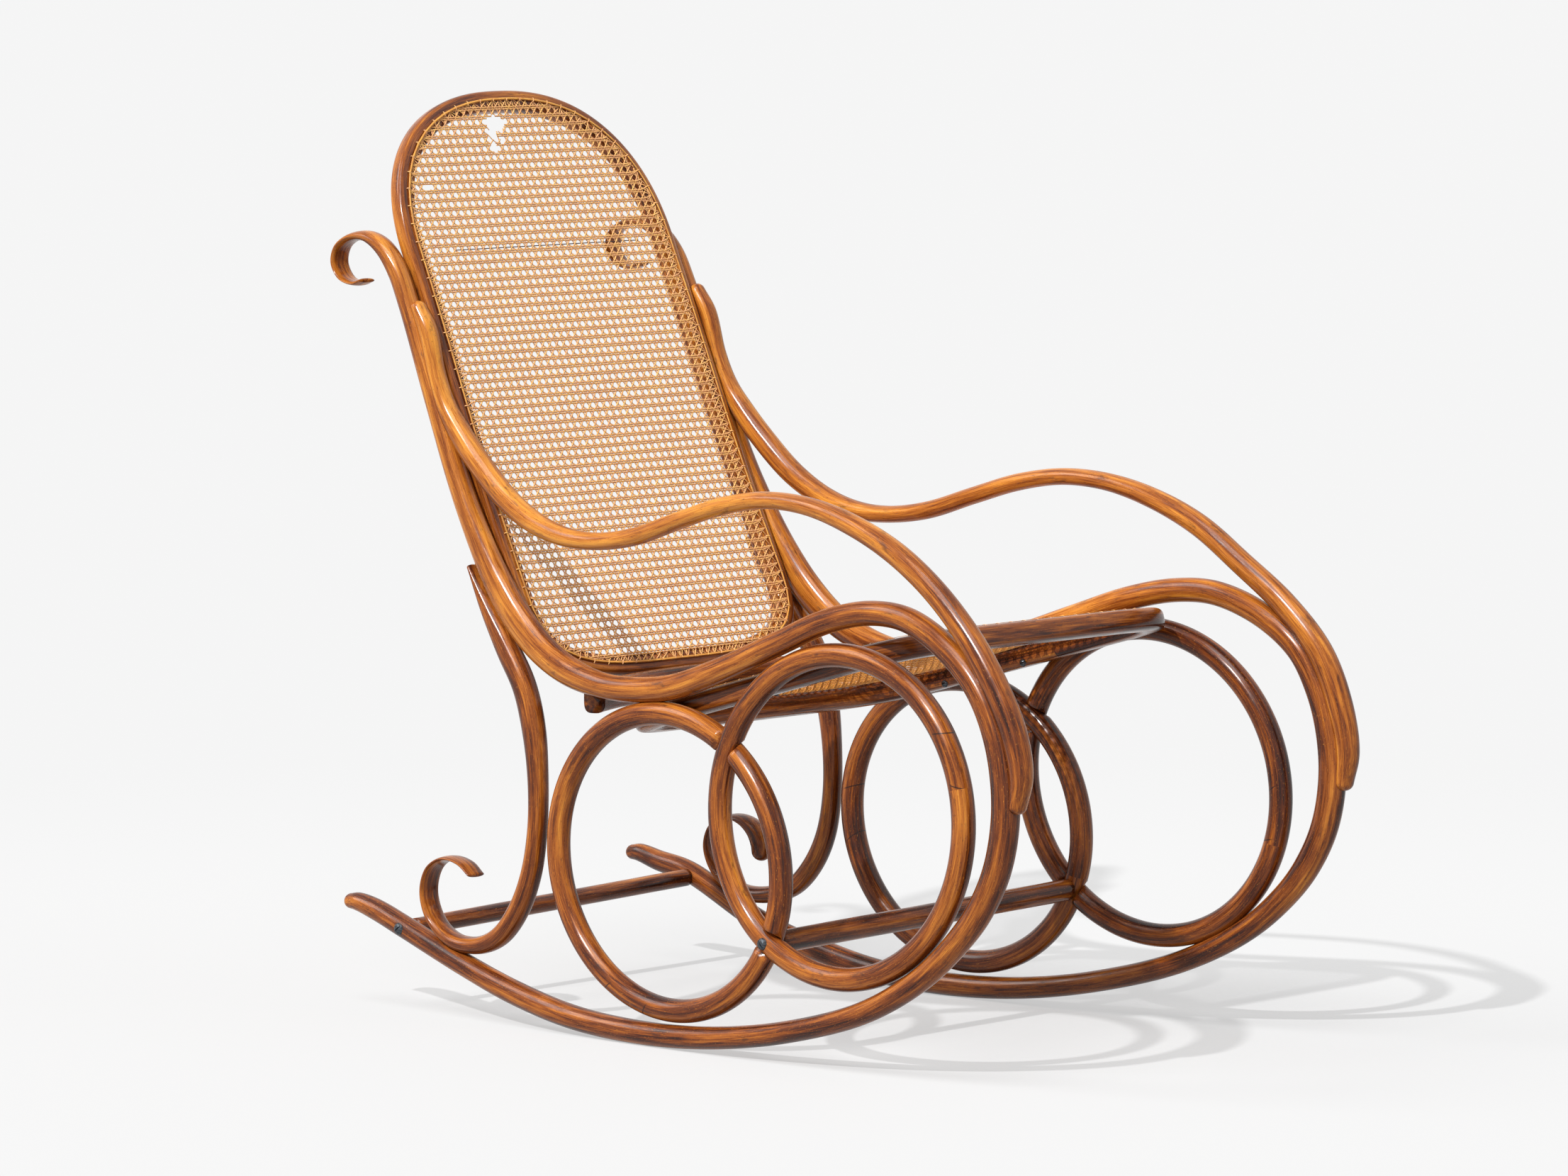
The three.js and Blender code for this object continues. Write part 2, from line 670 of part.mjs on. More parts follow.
const panels = [
  {
    side: -1,
    label: 'right',
    frontRing: ring(frontRingShares),
    rearRing: ring(rearRingShares),
    tailSeat: tailSeatShares,
  },
  {
    side: 1,
    label: 'left',
    frontRing: ring(leftFrontRingShares),
    rearRing: ring(leftRearRingShares),
    tailSeat: leftTailSeatShares,
  },
];
for (const panel of panels) {
  panel.crossing = lowerCrossing(panel.frontRing, panel.rearRing);
  panel.tail = new THREE.Vector2(panel.tailSeat[0] * sideLength, panel.tailSeat[1] * sideHeight);
}

// A straight round stretcher between one place in each panel
function stretcher(placeOf, rod, wall) {
  const stations = panels.map((panel) => {
    const { x, y } = placeOf(panel);
    return {
      centre: panelPoint(panelPlane(panel.side), x, y, bedding - wall / 2),
      across: new THREE.Vector3(0, 1, 0),
      aside: new THREE.Vector3(0, 0, 1),
      halfAcross: rod / 2,
      halfAside: rod / 2,
    };
  });
  return sweep(stations, roundSection);
}

// Pieces between the panels, which each panel then cuts to fit
let seat = seatRail();
let back = backRail().subtract(crossRail(seam));
let rail = crossRail();
let frontStretcher = stretcher(({ crossing }) => crossing, frontStretcherRod, ringRod);
let rearStretcher = stretcher(({ tail }) => tail, rearStretcherRod, frameRod);

for (const { side, label, frontRing, rearRing, crossing, tail } of panels) {
  const plane = panelPlane(side);
  const frameLine = rodStations(side, framePathShares, frameRod, bentPlace);
  const armLine = rodStations(side, armPathShares, armRod, bentPlace);
  const supportLine = rodStations(side, supportPathShares, supportRod, supportPlace);
  const frontRingLine = ringStations(plane, frontRing);
  const rearRingLine = ringStations(plane, rearRing);
  const frameFit = sweep(frameLine, roundSection, { domed: true, grow: seam });
  const armFit = sweep(armLine, roundSection, { domed: true, grow: seam });
  const supportFit = sweep(supportLine, roundSection, { domed: true, grow: seam });
  const frontRingFit = sweep(frontRingLine, roundSection, { closed: true, grow: seam });
  const rearRingFit = sweep(rearRingLine, roundSection, { closed: true, grow: seam });

  // Slotted screws: through the rings' crossing, through the tail and out through the seat rail
  const inwards = plane.out.clone().negate();
  const crossingHead = panelPoint(plane, crossing.x, crossing.y, ringRod / 2 - bedding);
  const tailHead = panelPoint(plane, tail.x, tail.y, frameRod / 2 - bedding);
  const crossingScrew = screw(
    crossingHead, inwards, ringScrewHead, ringRod + ringScrewGrip, side * ringScrewTurns.crossing,
  );
  const tailScrew = screw(
    tailHead, inwards, ringScrewHead, frameRod + ringScrewGrip, side * ringScrewTurns.tail,
  );
  const seatScrews = seatScrewShares.map((share) => {
    const y = share * seatDepth;
    const head = seatPoint(side * (seatHalfWidth(y) - seatRailWidth + bedding), y, -seatScrewDrop);
    const outwards = new THREE.Vector3(side, 0, 0);
    return screw(head, outwards, seatScrewHead, seatRailWidth + seatScrewGrip, seatScrewTurn);
  });
  const bores = [crossingScrew, tailScrew, ...seatScrews].map(({ bore }) => bore);

  const frame = carve(sweep(frameLine, roundSection, { domed: true }), bores);
  const arm = carve(sweep(armLine, roundSection, { domed: true }), [frameFit]);
  const support = carve(sweep(supportLine, roundSection, { domed: true }), [frameFit, rearRingFit]);
  const outerHalf = halfSpace(plane, 1, seam / 2);
  const innerHalf = halfSpace(plane, -1, seam / 2);
  const frontBody = carve(
    sweep(frontRingLine, roundSection, { closed: true }),
    [frameFit, rearRingFit.intersect(innerHalf), ...bores],
  );
  const rearBody = carve(
    sweep(rearRingLine, roundSection, { closed: true }),
    [frameFit, frontRingFit.intersect(outerHalf), ...bores],
  );

  addPiece(`side_frame_${label}`, frame, amber);
  addPiece(`armrest_${label}`, arm, honey);
  addPiece(`front_ring_${label}`, frontBody, amber);
  addPiece(`rear_ring_${label}`, rearBody, amber);
  addPiece(`rear_support_${label}`, support, umber);
  addPiece(`crossing_screw_${label}`, crossingScrew.body, steel);
  addPiece(`tail_screw_${label}`, tailScrew.body, steel);
  addPiece(`seat_screw_rear_${label}`, seatScrews[0].body, steel);
  addPiece(`seat_screw_front_${label}`, seatScrews[1].body, steel);

  seat = carve(seat, [frameFit, frontRingFit, rearRingFit, ...bores]);
  back = carve(back, [frameFit, armFit]);
  rail = carve(rail, [frameFit, rearRingFit, supportFit]);
  frontStretcher = carve(frontStretcher, [frontRingFit, rearRingFit, ...bores]);
  rearStretcher = carve(rearStretcher, [frameFit, supportFit, ...bores]);
}

addPiece('front_stretcher', frontStretcher, amber);
addPiece('rear_stretcher', rearStretcher, amber);
addPiece('seat_frame', seat, umber);
addPiece('seat_cane', seatCane(), rattan);
addPiece('back_frame', back, umber);
addPiece('back_cane', backCane(), rattan);
addPiece('back_cross_rail', rail, umber);

// The origin is under the middle of the whole chair, on the floor
const bounds = new THREE.Box3().setFromObject(chair);
const middle = bounds.getCenter(new THREE.Vector3());
chair.position.set(-middle.x, -middle.y, -bounds.min.z);

export default chair;
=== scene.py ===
import bpy
import numpy as np
from mathutils import Matrix, Vector


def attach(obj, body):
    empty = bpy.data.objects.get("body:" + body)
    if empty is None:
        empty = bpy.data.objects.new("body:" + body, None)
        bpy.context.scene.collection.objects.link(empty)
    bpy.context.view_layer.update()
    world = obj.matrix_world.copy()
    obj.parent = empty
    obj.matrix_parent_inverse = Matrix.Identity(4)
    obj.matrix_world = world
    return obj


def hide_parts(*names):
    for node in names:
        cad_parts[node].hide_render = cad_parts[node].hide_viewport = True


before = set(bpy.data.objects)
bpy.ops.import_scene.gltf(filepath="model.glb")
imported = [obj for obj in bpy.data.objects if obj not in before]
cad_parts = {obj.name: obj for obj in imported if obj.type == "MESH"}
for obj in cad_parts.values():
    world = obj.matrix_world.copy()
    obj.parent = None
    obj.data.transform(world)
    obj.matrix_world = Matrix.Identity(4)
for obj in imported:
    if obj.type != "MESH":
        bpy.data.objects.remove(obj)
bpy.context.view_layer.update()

# The stage: a pale paper floor under one hard key lamp and three softer ones, and a camera that
# looks at the chair's right front side. Nothing here is part of the chair.
mm = 0.001
chair_place = np.array([-0.29256, 43.52176, -0.71168]) * mm    # between the runners' lowest points
photo_width = 2212        # in pixels
sensor_width = 36         # in millimetres
focal_pixels = 11550.4
camera_sight = 100        # how far it sees, in metres
camera_right = Vector((0.66751, -0.7446, 0.0))
camera_up = Vector((0.0696, 0.06239, 0.99562))
camera_back = Vector((-0.74134, -0.66459, 0.09347))
camera_stand = Vector((-6850.0, -6119.1, 1353.9)) * mm

camera = bpy.data.objects.new("camera", bpy.data.cameras.new("camera"))
bpy.context.scene.collection.objects.link(camera)
camera.data.sensor_width = sensor_width
camera.data.lens = focal_pixels * sensor_width / photo_width
camera.data.clip_end = camera_sight
camera.matrix_world = Matrix.Translation(camera_stand + Vector(chair_place)) @ Matrix(
    (camera_right, camera_up, camera_back)).transposed().to_4x4()
bpy.context.scene.camera = camera
bpy.context.scene.view_settings.view_transform = "Standard"


class Signal:
    """A shader socket that can stand in sums, which add Math nodes."""

    def __init__(self, shader, socket):
        self.shader = shader
        self.socket = socket

    def other(self, name):
        """Another output of the same node."""
        return Signal(self.shader, self.socket.node.outputs[name])

    def sum_with(self, operation, first, second):
        return self.shader.node("ShaderNodeMath", {"operation": operation}, {0: first, 1: second})

    def __add__(self, other):
        return self.sum_with("ADD", self, other)

    def __sub__(self, other):
        return self.sum_with("SUBTRACT", self, other)

    def __rsub__(self, other):
        return self.sum_with("SUBTRACT", other, self)

    def __mul__(self, other):
        return self.sum_with("MULTIPLY", self, other)

    def __abs__(self):
        return self.sum_with("ABSOLUTE", self, 0)

    __radd__ = __add__
    __rmul__ = __mul__

    def clip(self, low, high):
        """0 below low, 1 above high and a smooth step between them."""
        return self.shader.node("ShaderNodeMapRange", {"interpolation_type": "SMOOTHSTEP"}, {
            "Value": self, "From Min": low, "From Max": high})


class Shader:
    """A node material or world, with one method that makes any node."""

    def __init__(self, owner):
        owner.use_nodes = True
        self.owner = owner
        self.nodes = owner.node_tree.nodes
        self.links = owner.node_tree.links
        self.nodes.clear()

    def node(self, kind, settings, inputs, output=0):
        """Adds a node, sets it up, fills its sockets and gives one of its outputs."""
        made = self.nodes.new(kind)
        for key, value in settings.items():
            if key == "stops":
                ramp = made.color_ramp.elements
                while len(ramp) < len(value):
                    ramp.new(1)
                for stop, (place, shade) in zip(ramp, value):
                    stop.position = place
                    stop.color = (*shade, 1)
            else:
                setattr(made, key, value)
        for key, value in inputs.items():
            if isinstance(value, Signal):
                self.links.new(value.socket, made.inputs[key])
            else:
                made.inputs[key].default_value = value
        return Signal(self, made.outputs[output]) if made.outputs else made

    def mix(self, share, first, second):
        """A colour between two, which a Mix node takes in its sockets 6 and 7 and gives in 2."""
        return self.node("ShaderNodeMix", {"data_type": "RGBA"}, {
            0: share, 6: first, 7: second}, 2)

    def noise(self, place, size, detail, roughness):
        """Noise whose grains have the given sizes in metres along the three axes of a place."""
        scaled = self.node("ShaderNodeVectorMath", {"operation": "DIVIDE"}, {0: place, 1: size})
        return self.node("ShaderNodeTexNoise", {}, {
            "Vector": scaled, "Scale": 1, "Detail": detail, "Roughness": roughness})

    def finish(self, surface):
        """Gives the node that the surface comes from to the world or the material."""
        world = isinstance(self.owner, bpy.types.World)
        kind = "ShaderNodeOutputWorld" if world else "ShaderNodeOutputMaterial"
        self.node(kind, {}, {"Surface": surface})
        return self.owner


backdrop_tone = 0.915
backdrop_colour = (backdrop_tone, backdrop_tone, backdrop_tone, 1)
sky_strength = 0.26
room = Shader(bpy.data.worlds.new("room"))
rays = room.node("ShaderNodeLightPath", {}, {})
mirrored = rays.other("Is Glossy Ray")
shown = rays.other("Is Camera Ray") + rays.other("Is Transmission Ray") + mirrored
strength = shown * (1 - sky_strength) + sky_strength
bpy.context.scene.world = room.finish(
    room.node("ShaderNodeBackground", {}, {"Color": backdrop_colour, "Strength": strength}))

floor_reach = 9
floor_shadow = 0.44       # share of the floor's tone that the lamps give
floor_fade = (1.3, 2.8)   # where the floor melts into the backdrop, in metres from the chair
seen_paper = (0.675, 0.675, 0.675, 1)
bouncing_paper = (0.45, 0.45, 0.45, 1)    # for the light that the floor throws on the chair
floor_mesh = bpy.data.meshes.new("floor")
corners = [(-floor_reach, -floor_reach, 0), (floor_reach, -floor_reach, 0),
           (floor_reach, floor_reach, 0), (-floor_reach, floor_reach, 0)]
floor_mesh.from_pydata(corners, [], [(0, 1, 2, 3)])
floor = bpy.data.objects.new("floor", floor_mesh)
bpy.context.scene.collection.objects.link(floor)

ground = Shader(bpy.data.materials.new("floor_paper"))
rays = ground.node("ShaderNodeLightPath", {}, {})
seen_directly = rays.other("Is Camera Ray")
place = ground.node("ShaderNodeTexCoord", {}, {}, "Object")
distance = ground.node("ShaderNodeVectorMath", {"operation": "LENGTH"}, {0: place}, "Value")
near = 1 - distance.clip(*floor_fade)
lit = (seen_directly + rays.other("Is Glossy Ray")) * (1 - floor_shadow * near)
tone = ground.mix(seen_directly, bouncing_paper, seen_paper)
paper = ground.node("ShaderNodeBsdfDiffuse", {}, {"Color": tone})
glow = ground.node("ShaderNodeEmission", {}, {"Color": backdrop_colour, "Strength": 1})
floor.data.materials.append(ground.finish(
    ground.node("ShaderNodeMixShader", {}, {0: lit, 1: paper, 2: glow})))

lamp_distance = 4
lamps = {
    # direction from +X and rise over the floor in degrees, strength, and spread in degrees
    "key": (188.3, 41.2, 2.9, 1.5),
    "top": (200, 62, 1.2, 28),
    "right": (300, 45, 0.25, 50),
    "back": (130, 40, 0.9, 26),
}
for name, (direction, rise, strength, spread) in lamps.items():
    data = bpy.data.lights.new(name, "SUN")
    data.energy = strength
    data.angle = np.radians(spread)
    lamp = bpy.data.objects.new(name, data)
    bpy.context.scene.collection.objects.link(lamp)
    direction, rise = np.radians((direction, rise))
    level = np.cos(rise)
    away = Vector((level * np.cos(direction), level * np.sin(direction), np.sin(rise)))
    turn = away.to_track_quat("Z", "Y").to_matrix().to_4x4()
    lamp.matrix_world = Matrix.Translation(lamp_distance * away) @ turn


# The side frames: one long beech rod each, steamed and bent round formers from the upper scroll
# down the post, over the hump, round the front and back along the runner to the tail.
side_length = 1.080
side_height = 0.888
stance_width = 0.516
toe = np.radians(1.57)
lean = np.radians(1.04)
frame_rod = 0.0268
frame_shares = [
    # along and up the panel, then the rod's size in the panel and out of it
    (-0.421, 0.936, 0.20, 0.96), (-0.432, 0.932, 0.22, 1.02), (-0.451, 0.938, 0.24, 1.04),
    (-0.462, 0.957, 0.26, 1.04), (-0.458, 0.977, 0.28, 1.04), (-0.442, 0.990, 0.34, 1.04),
    (-0.419, 0.993, 0.48, 1.02), (-0.396, 0.981, 0.72, 0.98), (-0.375, 0.954, 0.88, 0.94),
    (-0.356, 0.909, 0.90, 0.92), (-0.315, 0.790, 0.93, 0.93), (-0.276, 0.682, 1.00, 0.98),
    (-0.247, 0.617, 1.15, 1.02), (-0.219, 0.564, 1.33, 1.04), (-0.188, 0.519, 1.42, 1.06),
    (-0.152, 0.483, 1.36, 1.06), (-0.112, 0.459, 1.25, 1.06), (-0.064, 0.446, 1.08, 1.06),
    (-0.014, 0.445, 1.06, 1.06), (0.037, 0.453, 1.06, 1.06), (0.106, 0.481, 1.03, 1.03),
    (0.187, 0.521, 1.02, 1.02), (0.250, 0.552, 1.02, 1.02), (0.311, 0.567, 1.02, 1.02),
    (0.362, 0.562, 1.04, 1.04), (0.412, 0.533, 1.06, 1.06), (0.452, 0.492, 1.08, 1.08),
    (0.476, 0.446, 1.12, 1.10), (0.490, 0.394, 1.17, 1.12), (0.494, 0.335, 1.20, 1.14),
    (0.484, 0.272, 1.18, 1.14), (0.460, 0.217, 1.12, 1.10), (0.427, 0.172, 1.04, 1.04),
    (0.382, 0.127, 0.98, 1.00), (0.310, 0.080, 0.94, 0.96), (0.206, 0.043, 0.92, 0.94),
    (0.100, 0.022, 0.95, 0.95), (0.001, 0.016, 1.00, 1.00), (-0.100, 0.023, 1.03, 1.02),
    (-0.188, 0.044, 1.04, 1.02), (-0.263, 0.071, 0.98, 1.00), (-0.351, 0.108, 0.96, 0.98),
    (-0.398, 0.127, 0.92, 0.94), (-0.424, 0.134, 0.80, 0.86), (-0.434, 0.134, 0.68, 0.76),
]
left_tail_seat = (-0.358, 0.121)     # where the rear stretcher meets the frame
right_tail_seat = (-0.351, 0.108)
rod_facets = 36
rod_steps = 14            # sections from one row of a table to the next
dome_angles = np.radians([16, 32, 48, 62, 74, 83])
upright = np.array([0, 0, 1.0])


def smooth_through(rows, steps, power):
    """A Catmull-Rom curve through rows of values, with steps points from each row to the next.
    The knots lie apart by the distances between the rows to a power: half is centripetal."""
    rows = np.asarray(rows, float)
    rows = np.vstack([2 * rows[0] - rows[1], rows, 2 * rows[-1] - rows[-2]])
    apart = np.linalg.norm(np.diff(rows, axis=0), axis=1) ** power
    before, here, after = (gap[:, None] for gap in (apart[:-2], apart[1:-1], apart[2:]))
    p0, p1, p2, p3 = rows[:-3], rows[1:-2], rows[2:-1], rows[3:]
    leave = here * ((p1 - p0) / before - (p2 - p0) / (before + here) + (p2 - p1) / here)
    arrive = here * ((p2 - p1) / here - (p3 - p1) / (here + after) + (p3 - p2) / after)
    t = (np.arange(steps) / steps)[None, :, None]
    p1, p2, leave, arrive = (value[:, None, :] for value in (p1, p2, leave, arrive))
    curve = p1 + leave * t + (3 * (p2 - p1) - 2 * leave - arrive) * t ** 2 + (
        2 * (p1 - p2) + leave + arrive) * t ** 3
    return np.vstack([curve.reshape(-1, rows.shape[1]), rows[-2]])


def unit(vectors):
    """The same vectors, each one long."""
    return vectors / np.linalg.norm(vectors, axis=-1, keepdims=True)


def panel(side):
    """The plane of a side panel: its origin on the floor and its unit vectors along, up and out."""
    along = np.array([side * np.sin(toe), -np.cos(toe), 0])
    level = np.array([side * np.cos(toe), np.sin(toe), 0])
    up = upright * np.cos(lean) - level * np.sin(lean)
    out = upright * np.sin(lean) + level * np.cos(lean)
    return np.array([side * stance_width / 2, 0, 0]) + chair_place, along, up, out


def panel_point(side, along, up, out=0):
    """Points at distances along, up and out of a panel from its origin."""
    origin, ahead, above, outwards = panel(side)
    along, up = np.asarray(along)[..., None], np.asarray(up)[..., None]
    return origin + along * ahead + up * above + out * outwards


def panel_out(side):
    """The unit vector square to a panel, away from the sitter."""
    return panel(side)[3]


def fade(value, start, peak, end=None):
    """Rises smoothly from 0 to 1 between two shares, and falls again to a third if there is one."""
    def step(low, high):
        t = np.clip((value - low) / (high - low), 0, 1)
        return t * t * (3 - 2 * t)
    return step(start, peak) - (0 if end is None else step(peak, end))


left_front_reach = 0.021
left_hump_drop = 0.012
left_crest_drop = 0.004
left_arm_drop = 0.020
left_tail_back = 0.011
left_tail_lift = 0.010
left_zones = {
    # where the left panel differs: the shares along and then up between which it comes and goes
    "front": ((0.24, 0.44), (0.60, 0.50)),
    "hump": ((0.10, 0.28, 0.46), (0.66, 0.57)),
    "crest": ((-0.20, 0.16, 0.46), (0.57, 0.66)),
    "arm_end": ((0.495, 0.503), (0.50, 0.36)),
    "tail": ((-0.30, -0.42), (0.40, 0.25)),
}


def bent_place(side, shares):
    """Places in a panel for rows of shares along and up, with the left panel's differences."""
    along, up = np.asarray(shares, float).T[:2]
    x, y = along * side_length, up * side_height
    if side < 0:
        return np.stack([x, y], 1)
    in_zone = {name: fade(along, *ahead) * fade(up, *above)
               for name, (ahead, above) in left_zones.items()}
    hump = in_zone["hump"] * (1 - fade(up, *left_zones["tail"][1]))
    x = x + left_front_reach * in_zone["front"] - left_tail_back * in_zone["tail"]
    y = y + left_tail_lift * in_zone["tail"] - left_hump_drop * hump
    y = y - left_crest_drop * in_zone["crest"] - left_arm_drop * in_zone["arm_end"]
    return np.stack([x, y], 1)


def round_ends(centre, half_across, half_aside):
    """Adds shrinking sections that close both ends of a rod in domes."""
    for end in (0, -1):
        tip, before = (0, 1) if end == 0 else (-1, -2)
        ahead = unit(centre[tip] - centre[before])
        reach = min(half_across[tip], half_aside[tip])
        more = centre[tip] + ahead * reach * np.sin(dome_angles)[:, None]
        across = half_across[tip] * np.cos(dome_angles)
        aside = half_aside[tip] * np.cos(dome_angles)
        if end == 0:
            centre = np.vstack([more[::-1], centre])
            half_across = np.r_[across[::-1], half_across]
            half_aside = np.r_[aside[::-1], half_aside]
        else:
            centre = np.vstack([centre, more])
            half_across = np.r_[half_across, across]
            half_aside = np.r_[half_aside, aside]
    return centre, half_across, half_aside


def add_piece(name, points, faces, grain, finish, stands_for):
    """Makes a mesh from points and faces, with its grain on the corners of its faces."""
    mesh = bpy.data.meshes.new(name)
    mesh.from_pydata(points, [], faces)
    field = mesh.attributes.new("grain", "FLOAT_VECTOR", "CORNER")
    field.data.foreach_set("vector", grain.ravel())
    mesh.shade_smooth()
    mesh.materials.append(finish)
    made = bpy.data.objects.new(name, mesh)
    bpy.context.scene.collection.objects.link(made)
    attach(made, "root")
    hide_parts(*stands_for)


def add_rod(name, centre, aside, half_across, half_aside, finish, stands_for, closed=False,
            power=2, facets=rod_facets, notch=None, start=0):
    """A profile carried along a path. A point of the surface is the path's centre, plus the across
    vector times half_across times the cosine of the angle, plus the aside vector times half_aside
    times its sine, both rounded by the superellipse power. The field `grain` holds the straightened
    rod: the way along it, then across and aside, in metres."""
    count = len(centre)
    if closed:
        travel = np.roll(centre, -1, 0) - np.roll(centre, 1, 0)
    else:
        travel = np.gradient(centre, axis=0)
    aside = np.broadcast_to(aside, centre.shape)
    across = unit(np.cross(travel, aside))
    angle = 2 * np.pi * np.arange(facets) / facets
    wave = [np.sign(w) * np.abs(w) ** (2 / power) for w in (np.cos(angle), np.sin(angle))]
    x = np.broadcast_to(half_across, count)[:, None] * wave[0]
    y = np.broadcast_to(half_aside, count)[:, None] * wave[1]
    if notch is not None:
        y = notch(centre, y)
    points = centre[:, None] + x[..., None] * across[:, None] + y[..., None] * aside[:, None]
    ring_lengths = np.linalg.norm(np.diff(np.vstack([centre, centre[:1]]), axis=0), axis=1)
    way = start + np.r_[0, np.cumsum(ring_lengths)][:count + closed]
    grid = np.arange(count * facets).reshape(count, facets)
    grain = np.stack(np.broadcast_arrays(way[:count, None], x, y), 2)
    if closed:
        grid = np.vstack([grid, grid[:1]])
        last = grain[:1].copy()
        last[..., 0] = way[-1]
        grain = np.vstack([grain, last])
    turned = np.roll(grid, -1, 1)
    quads = np.stack([grid[:-1], grid[1:], turned[1:], turned[:-1]], 2).reshape(-1, 4)
    shifted = np.roll(grain, -1, 1)
    corners = np.stack([grain[:-1], grain[1:], shifted[1:], shifted[:-1]], 2).reshape(-1, 3)
    faces = quads.tolist()
    if not closed:
        faces += [grid[0].tolist(), grid[-1, ::-1].tolist()]
        corners = np.vstack([corners, grain[0], grain[-1, ::-1]])
    add_piece(name, points.reshape(-1, 3), faces, corners, finish, stands_for)


beech_grain = [
    # patches, bands, fibres, flecks and stains: their sizes along, across and aside of the rod in
    # metres, and the noise's detail and roughness
    ((0.20, 0.016, 0.016), 3, 0.5),
    ((0.09, 0.0044, 0.0044), 3, 0.5),
    ((0.028, 0.0008, 0.0008), 3, 0.6),
    ((0.0032, 0.0008, 0.0008), 1, 0.4),
    ((0.030, 0.009, 0.009), 4, 0.7),
]
paling_fade = 0.20          # half the way over which the paler tone ends
noise_level = 0.325       # taken off the noises' sum, to bring it among the tones
beech_tones = [
    (0.31, (0.028, 0.008, 0.005)), (0.40, (0.095, 0.021, 0.006)), (0.50, (0.245, 0.061, 0.009)),
    (0.61, (0.45, 0.142, 0.019)), (0.76, (0.72, 0.29, 0.040)),
]
beech_marks = {
    # levels of the noise between which a mark comes out, how strong it is, and its colour
    "flecks": ((0.33, 0.25), 0.45, (0.62, 0.24, 0.035, 1)),
    "pores": ((0.69, 0.75), 0.7, (0.022, 0.008, 0.006, 1)),
    "stains": ((0.56, 0.72), 0.65, (0.035, 0.011, 0.008, 1)),
}


def beech(name, shift, wear, paling_amount=0, paling_to=0, joint=False):
    """Stained and polished beech: patches and bands of tone along the rod, fine fibres, short pale
    flecks, dark pores and stains, under a smooth polish. Shift makes it lighter, wear is how many
    of the flecks show, the next two numbers give how much paler the rod is from its start and up to
    which way along it, and a joint is the two dark lines at the ends of a scarf joint."""
    wood = Shader(bpy.data.materials.new(name))
    grain = wood.node("ShaderNodeAttribute", {"attribute_name": "grain"}, {}, "Vector")
    patches, bands, fibres, flecks, stains = (wood.noise(grain, *kind) for kind in beech_grain)
    way = wood.node("ShaderNodeSeparateXYZ", {}, {0: grain})
    # paler from the rod's start up to a given way along it
    paling = paling_amount * (1 - way.clip(paling_to - paling_fade, paling_to + paling_fade))
    tone = 0.60 * patches + 0.45 * bands + 0.45 * fibres + paling + (shift - noise_level)
    shade = wood.node("ShaderNodeValToRGB", {"stops": beech_tones}, {"Fac": tone})
    for kind, noise, amount in (("flecks", flecks, wear), ("pores", flecks, 1),
                                ("stains", stains, 1)):
        levels, strength, colour = beech_marks[kind]
        shade = wood.mix(noise.clip(*levels) * (strength * amount), shade, colour)
    if joint:
        across = way.other("Y")
        for end in (-joint_reach, joint_reach):
            gap = way + joint_slant * across - (joint_way + end)
            near = 1 - abs(gap).clip(*joint_line)
            line = near * across.clip(*joint_side)
            shade = wood.mix(line * joint_strength, shade, joint_colour)
    relief = wood.node("ShaderNodeBump", {}, {
        "Strength": 0.08, "Distance": 0.0002, "Height": 0.6 * fibres + 0.4 * flecks})
    gloss = 0.17 + 0.14 * stains.clip(0.40, 0.70)
    return wood.finish(wood.node("ShaderNodeBsdfPrincipled", {}, {
        "Base Color": shade, "Roughness": gloss, "Normal": relief, "Specular IOR Level": 0.29}))


amber_beech = beech("amber_beech", shift=0.028, wear=1.0, paling_amount=0.105, paling_to=1.20)
sides = {"right": -1, "left": 1}


def frame_rows(side):
    """The rows of a side frame, with the left one's own place for the rear stretcher."""
    rows = [list(row) for row in frame_shares]
    if side > 0:
        places = [tuple(row[:2]) for row in rows]
        rows[places.index(right_tail_seat)][:2] = left_tail_seat
    return rows


def panel_rod(name, side, places, sizes, rod, finish, node):
    """A rod in a side panel, through places along and up, whose sizes are shares of the rod's."""
    path = smooth_through(places, rod_steps, 0.5)
    half_sizes = smooth_through(np.asarray(sizes) * rod / 2, rod_steps, 0)
    centre = panel_point(side, path[:, 0], path[:, 1])
    centre, half_across, half_aside = round_ends(centre, *half_sizes.T)
    add_rod(name, centre, panel_out(side), half_across, half_aside, finish, [node])


for label, side in sides.items():
    rows = frame_rows(side)
    panel_rod(f"{label}_side_frame", side, bent_place(side, rows), [row[2:] for row in rows],
              frame_rod, amber_beech, f"side_frame_{label}")


# The rings: closed hoops of bent beech with a long scarf joint, two on each side, half lapped
# where they cross, glued and screwed to the frame's rods.
ring_rod = 0.0265
ring_shares = {
    # the middle and two half axes, one ahead and one upwards, each as shares along and up
    ("front", "right"): ((0.272, 0.314), (0.162, 0.050), (-0.040, 0.192)),
    ("rear", "right"): ((0.033, 0.234), (0.146, -0.081), (0.062, 0.166)),
    ("front", "left"): ((0.280, 0.307), (0.160, -0.062), (0.049, 0.186)),
    ("rear", "left"): ((0.028, 0.233), (0.151, -0.055), (0.043, 0.175)),
}
ring_sections = 240
joint_way = 10.0          # the way along a ring's grain at which its scarf joint lies
joint_reach = 0.030       # from the joint's middle to each of its two ends
joint_slant = 0.5
joint_line = (0.0004, 0.0011)     # half widths between which the glue line at an end fades
joint_side = (-0.006, 0.001)      # across the rod: where that line comes out of the wood
joint_strength = 0.85
joint_colour = (0.012, 0.006, 0.005, 1)
ring_joints = {
    # how far round from the front each joint lies, in metres
    ("front", "right"): 0.035, ("rear", "right"): 0.808,
    ("front", "left"): 0.035, ("rear", "left"): 0.575,
}
lap_reach = 0.94          # of the rod: how near the other ring's middle line the lap is cut


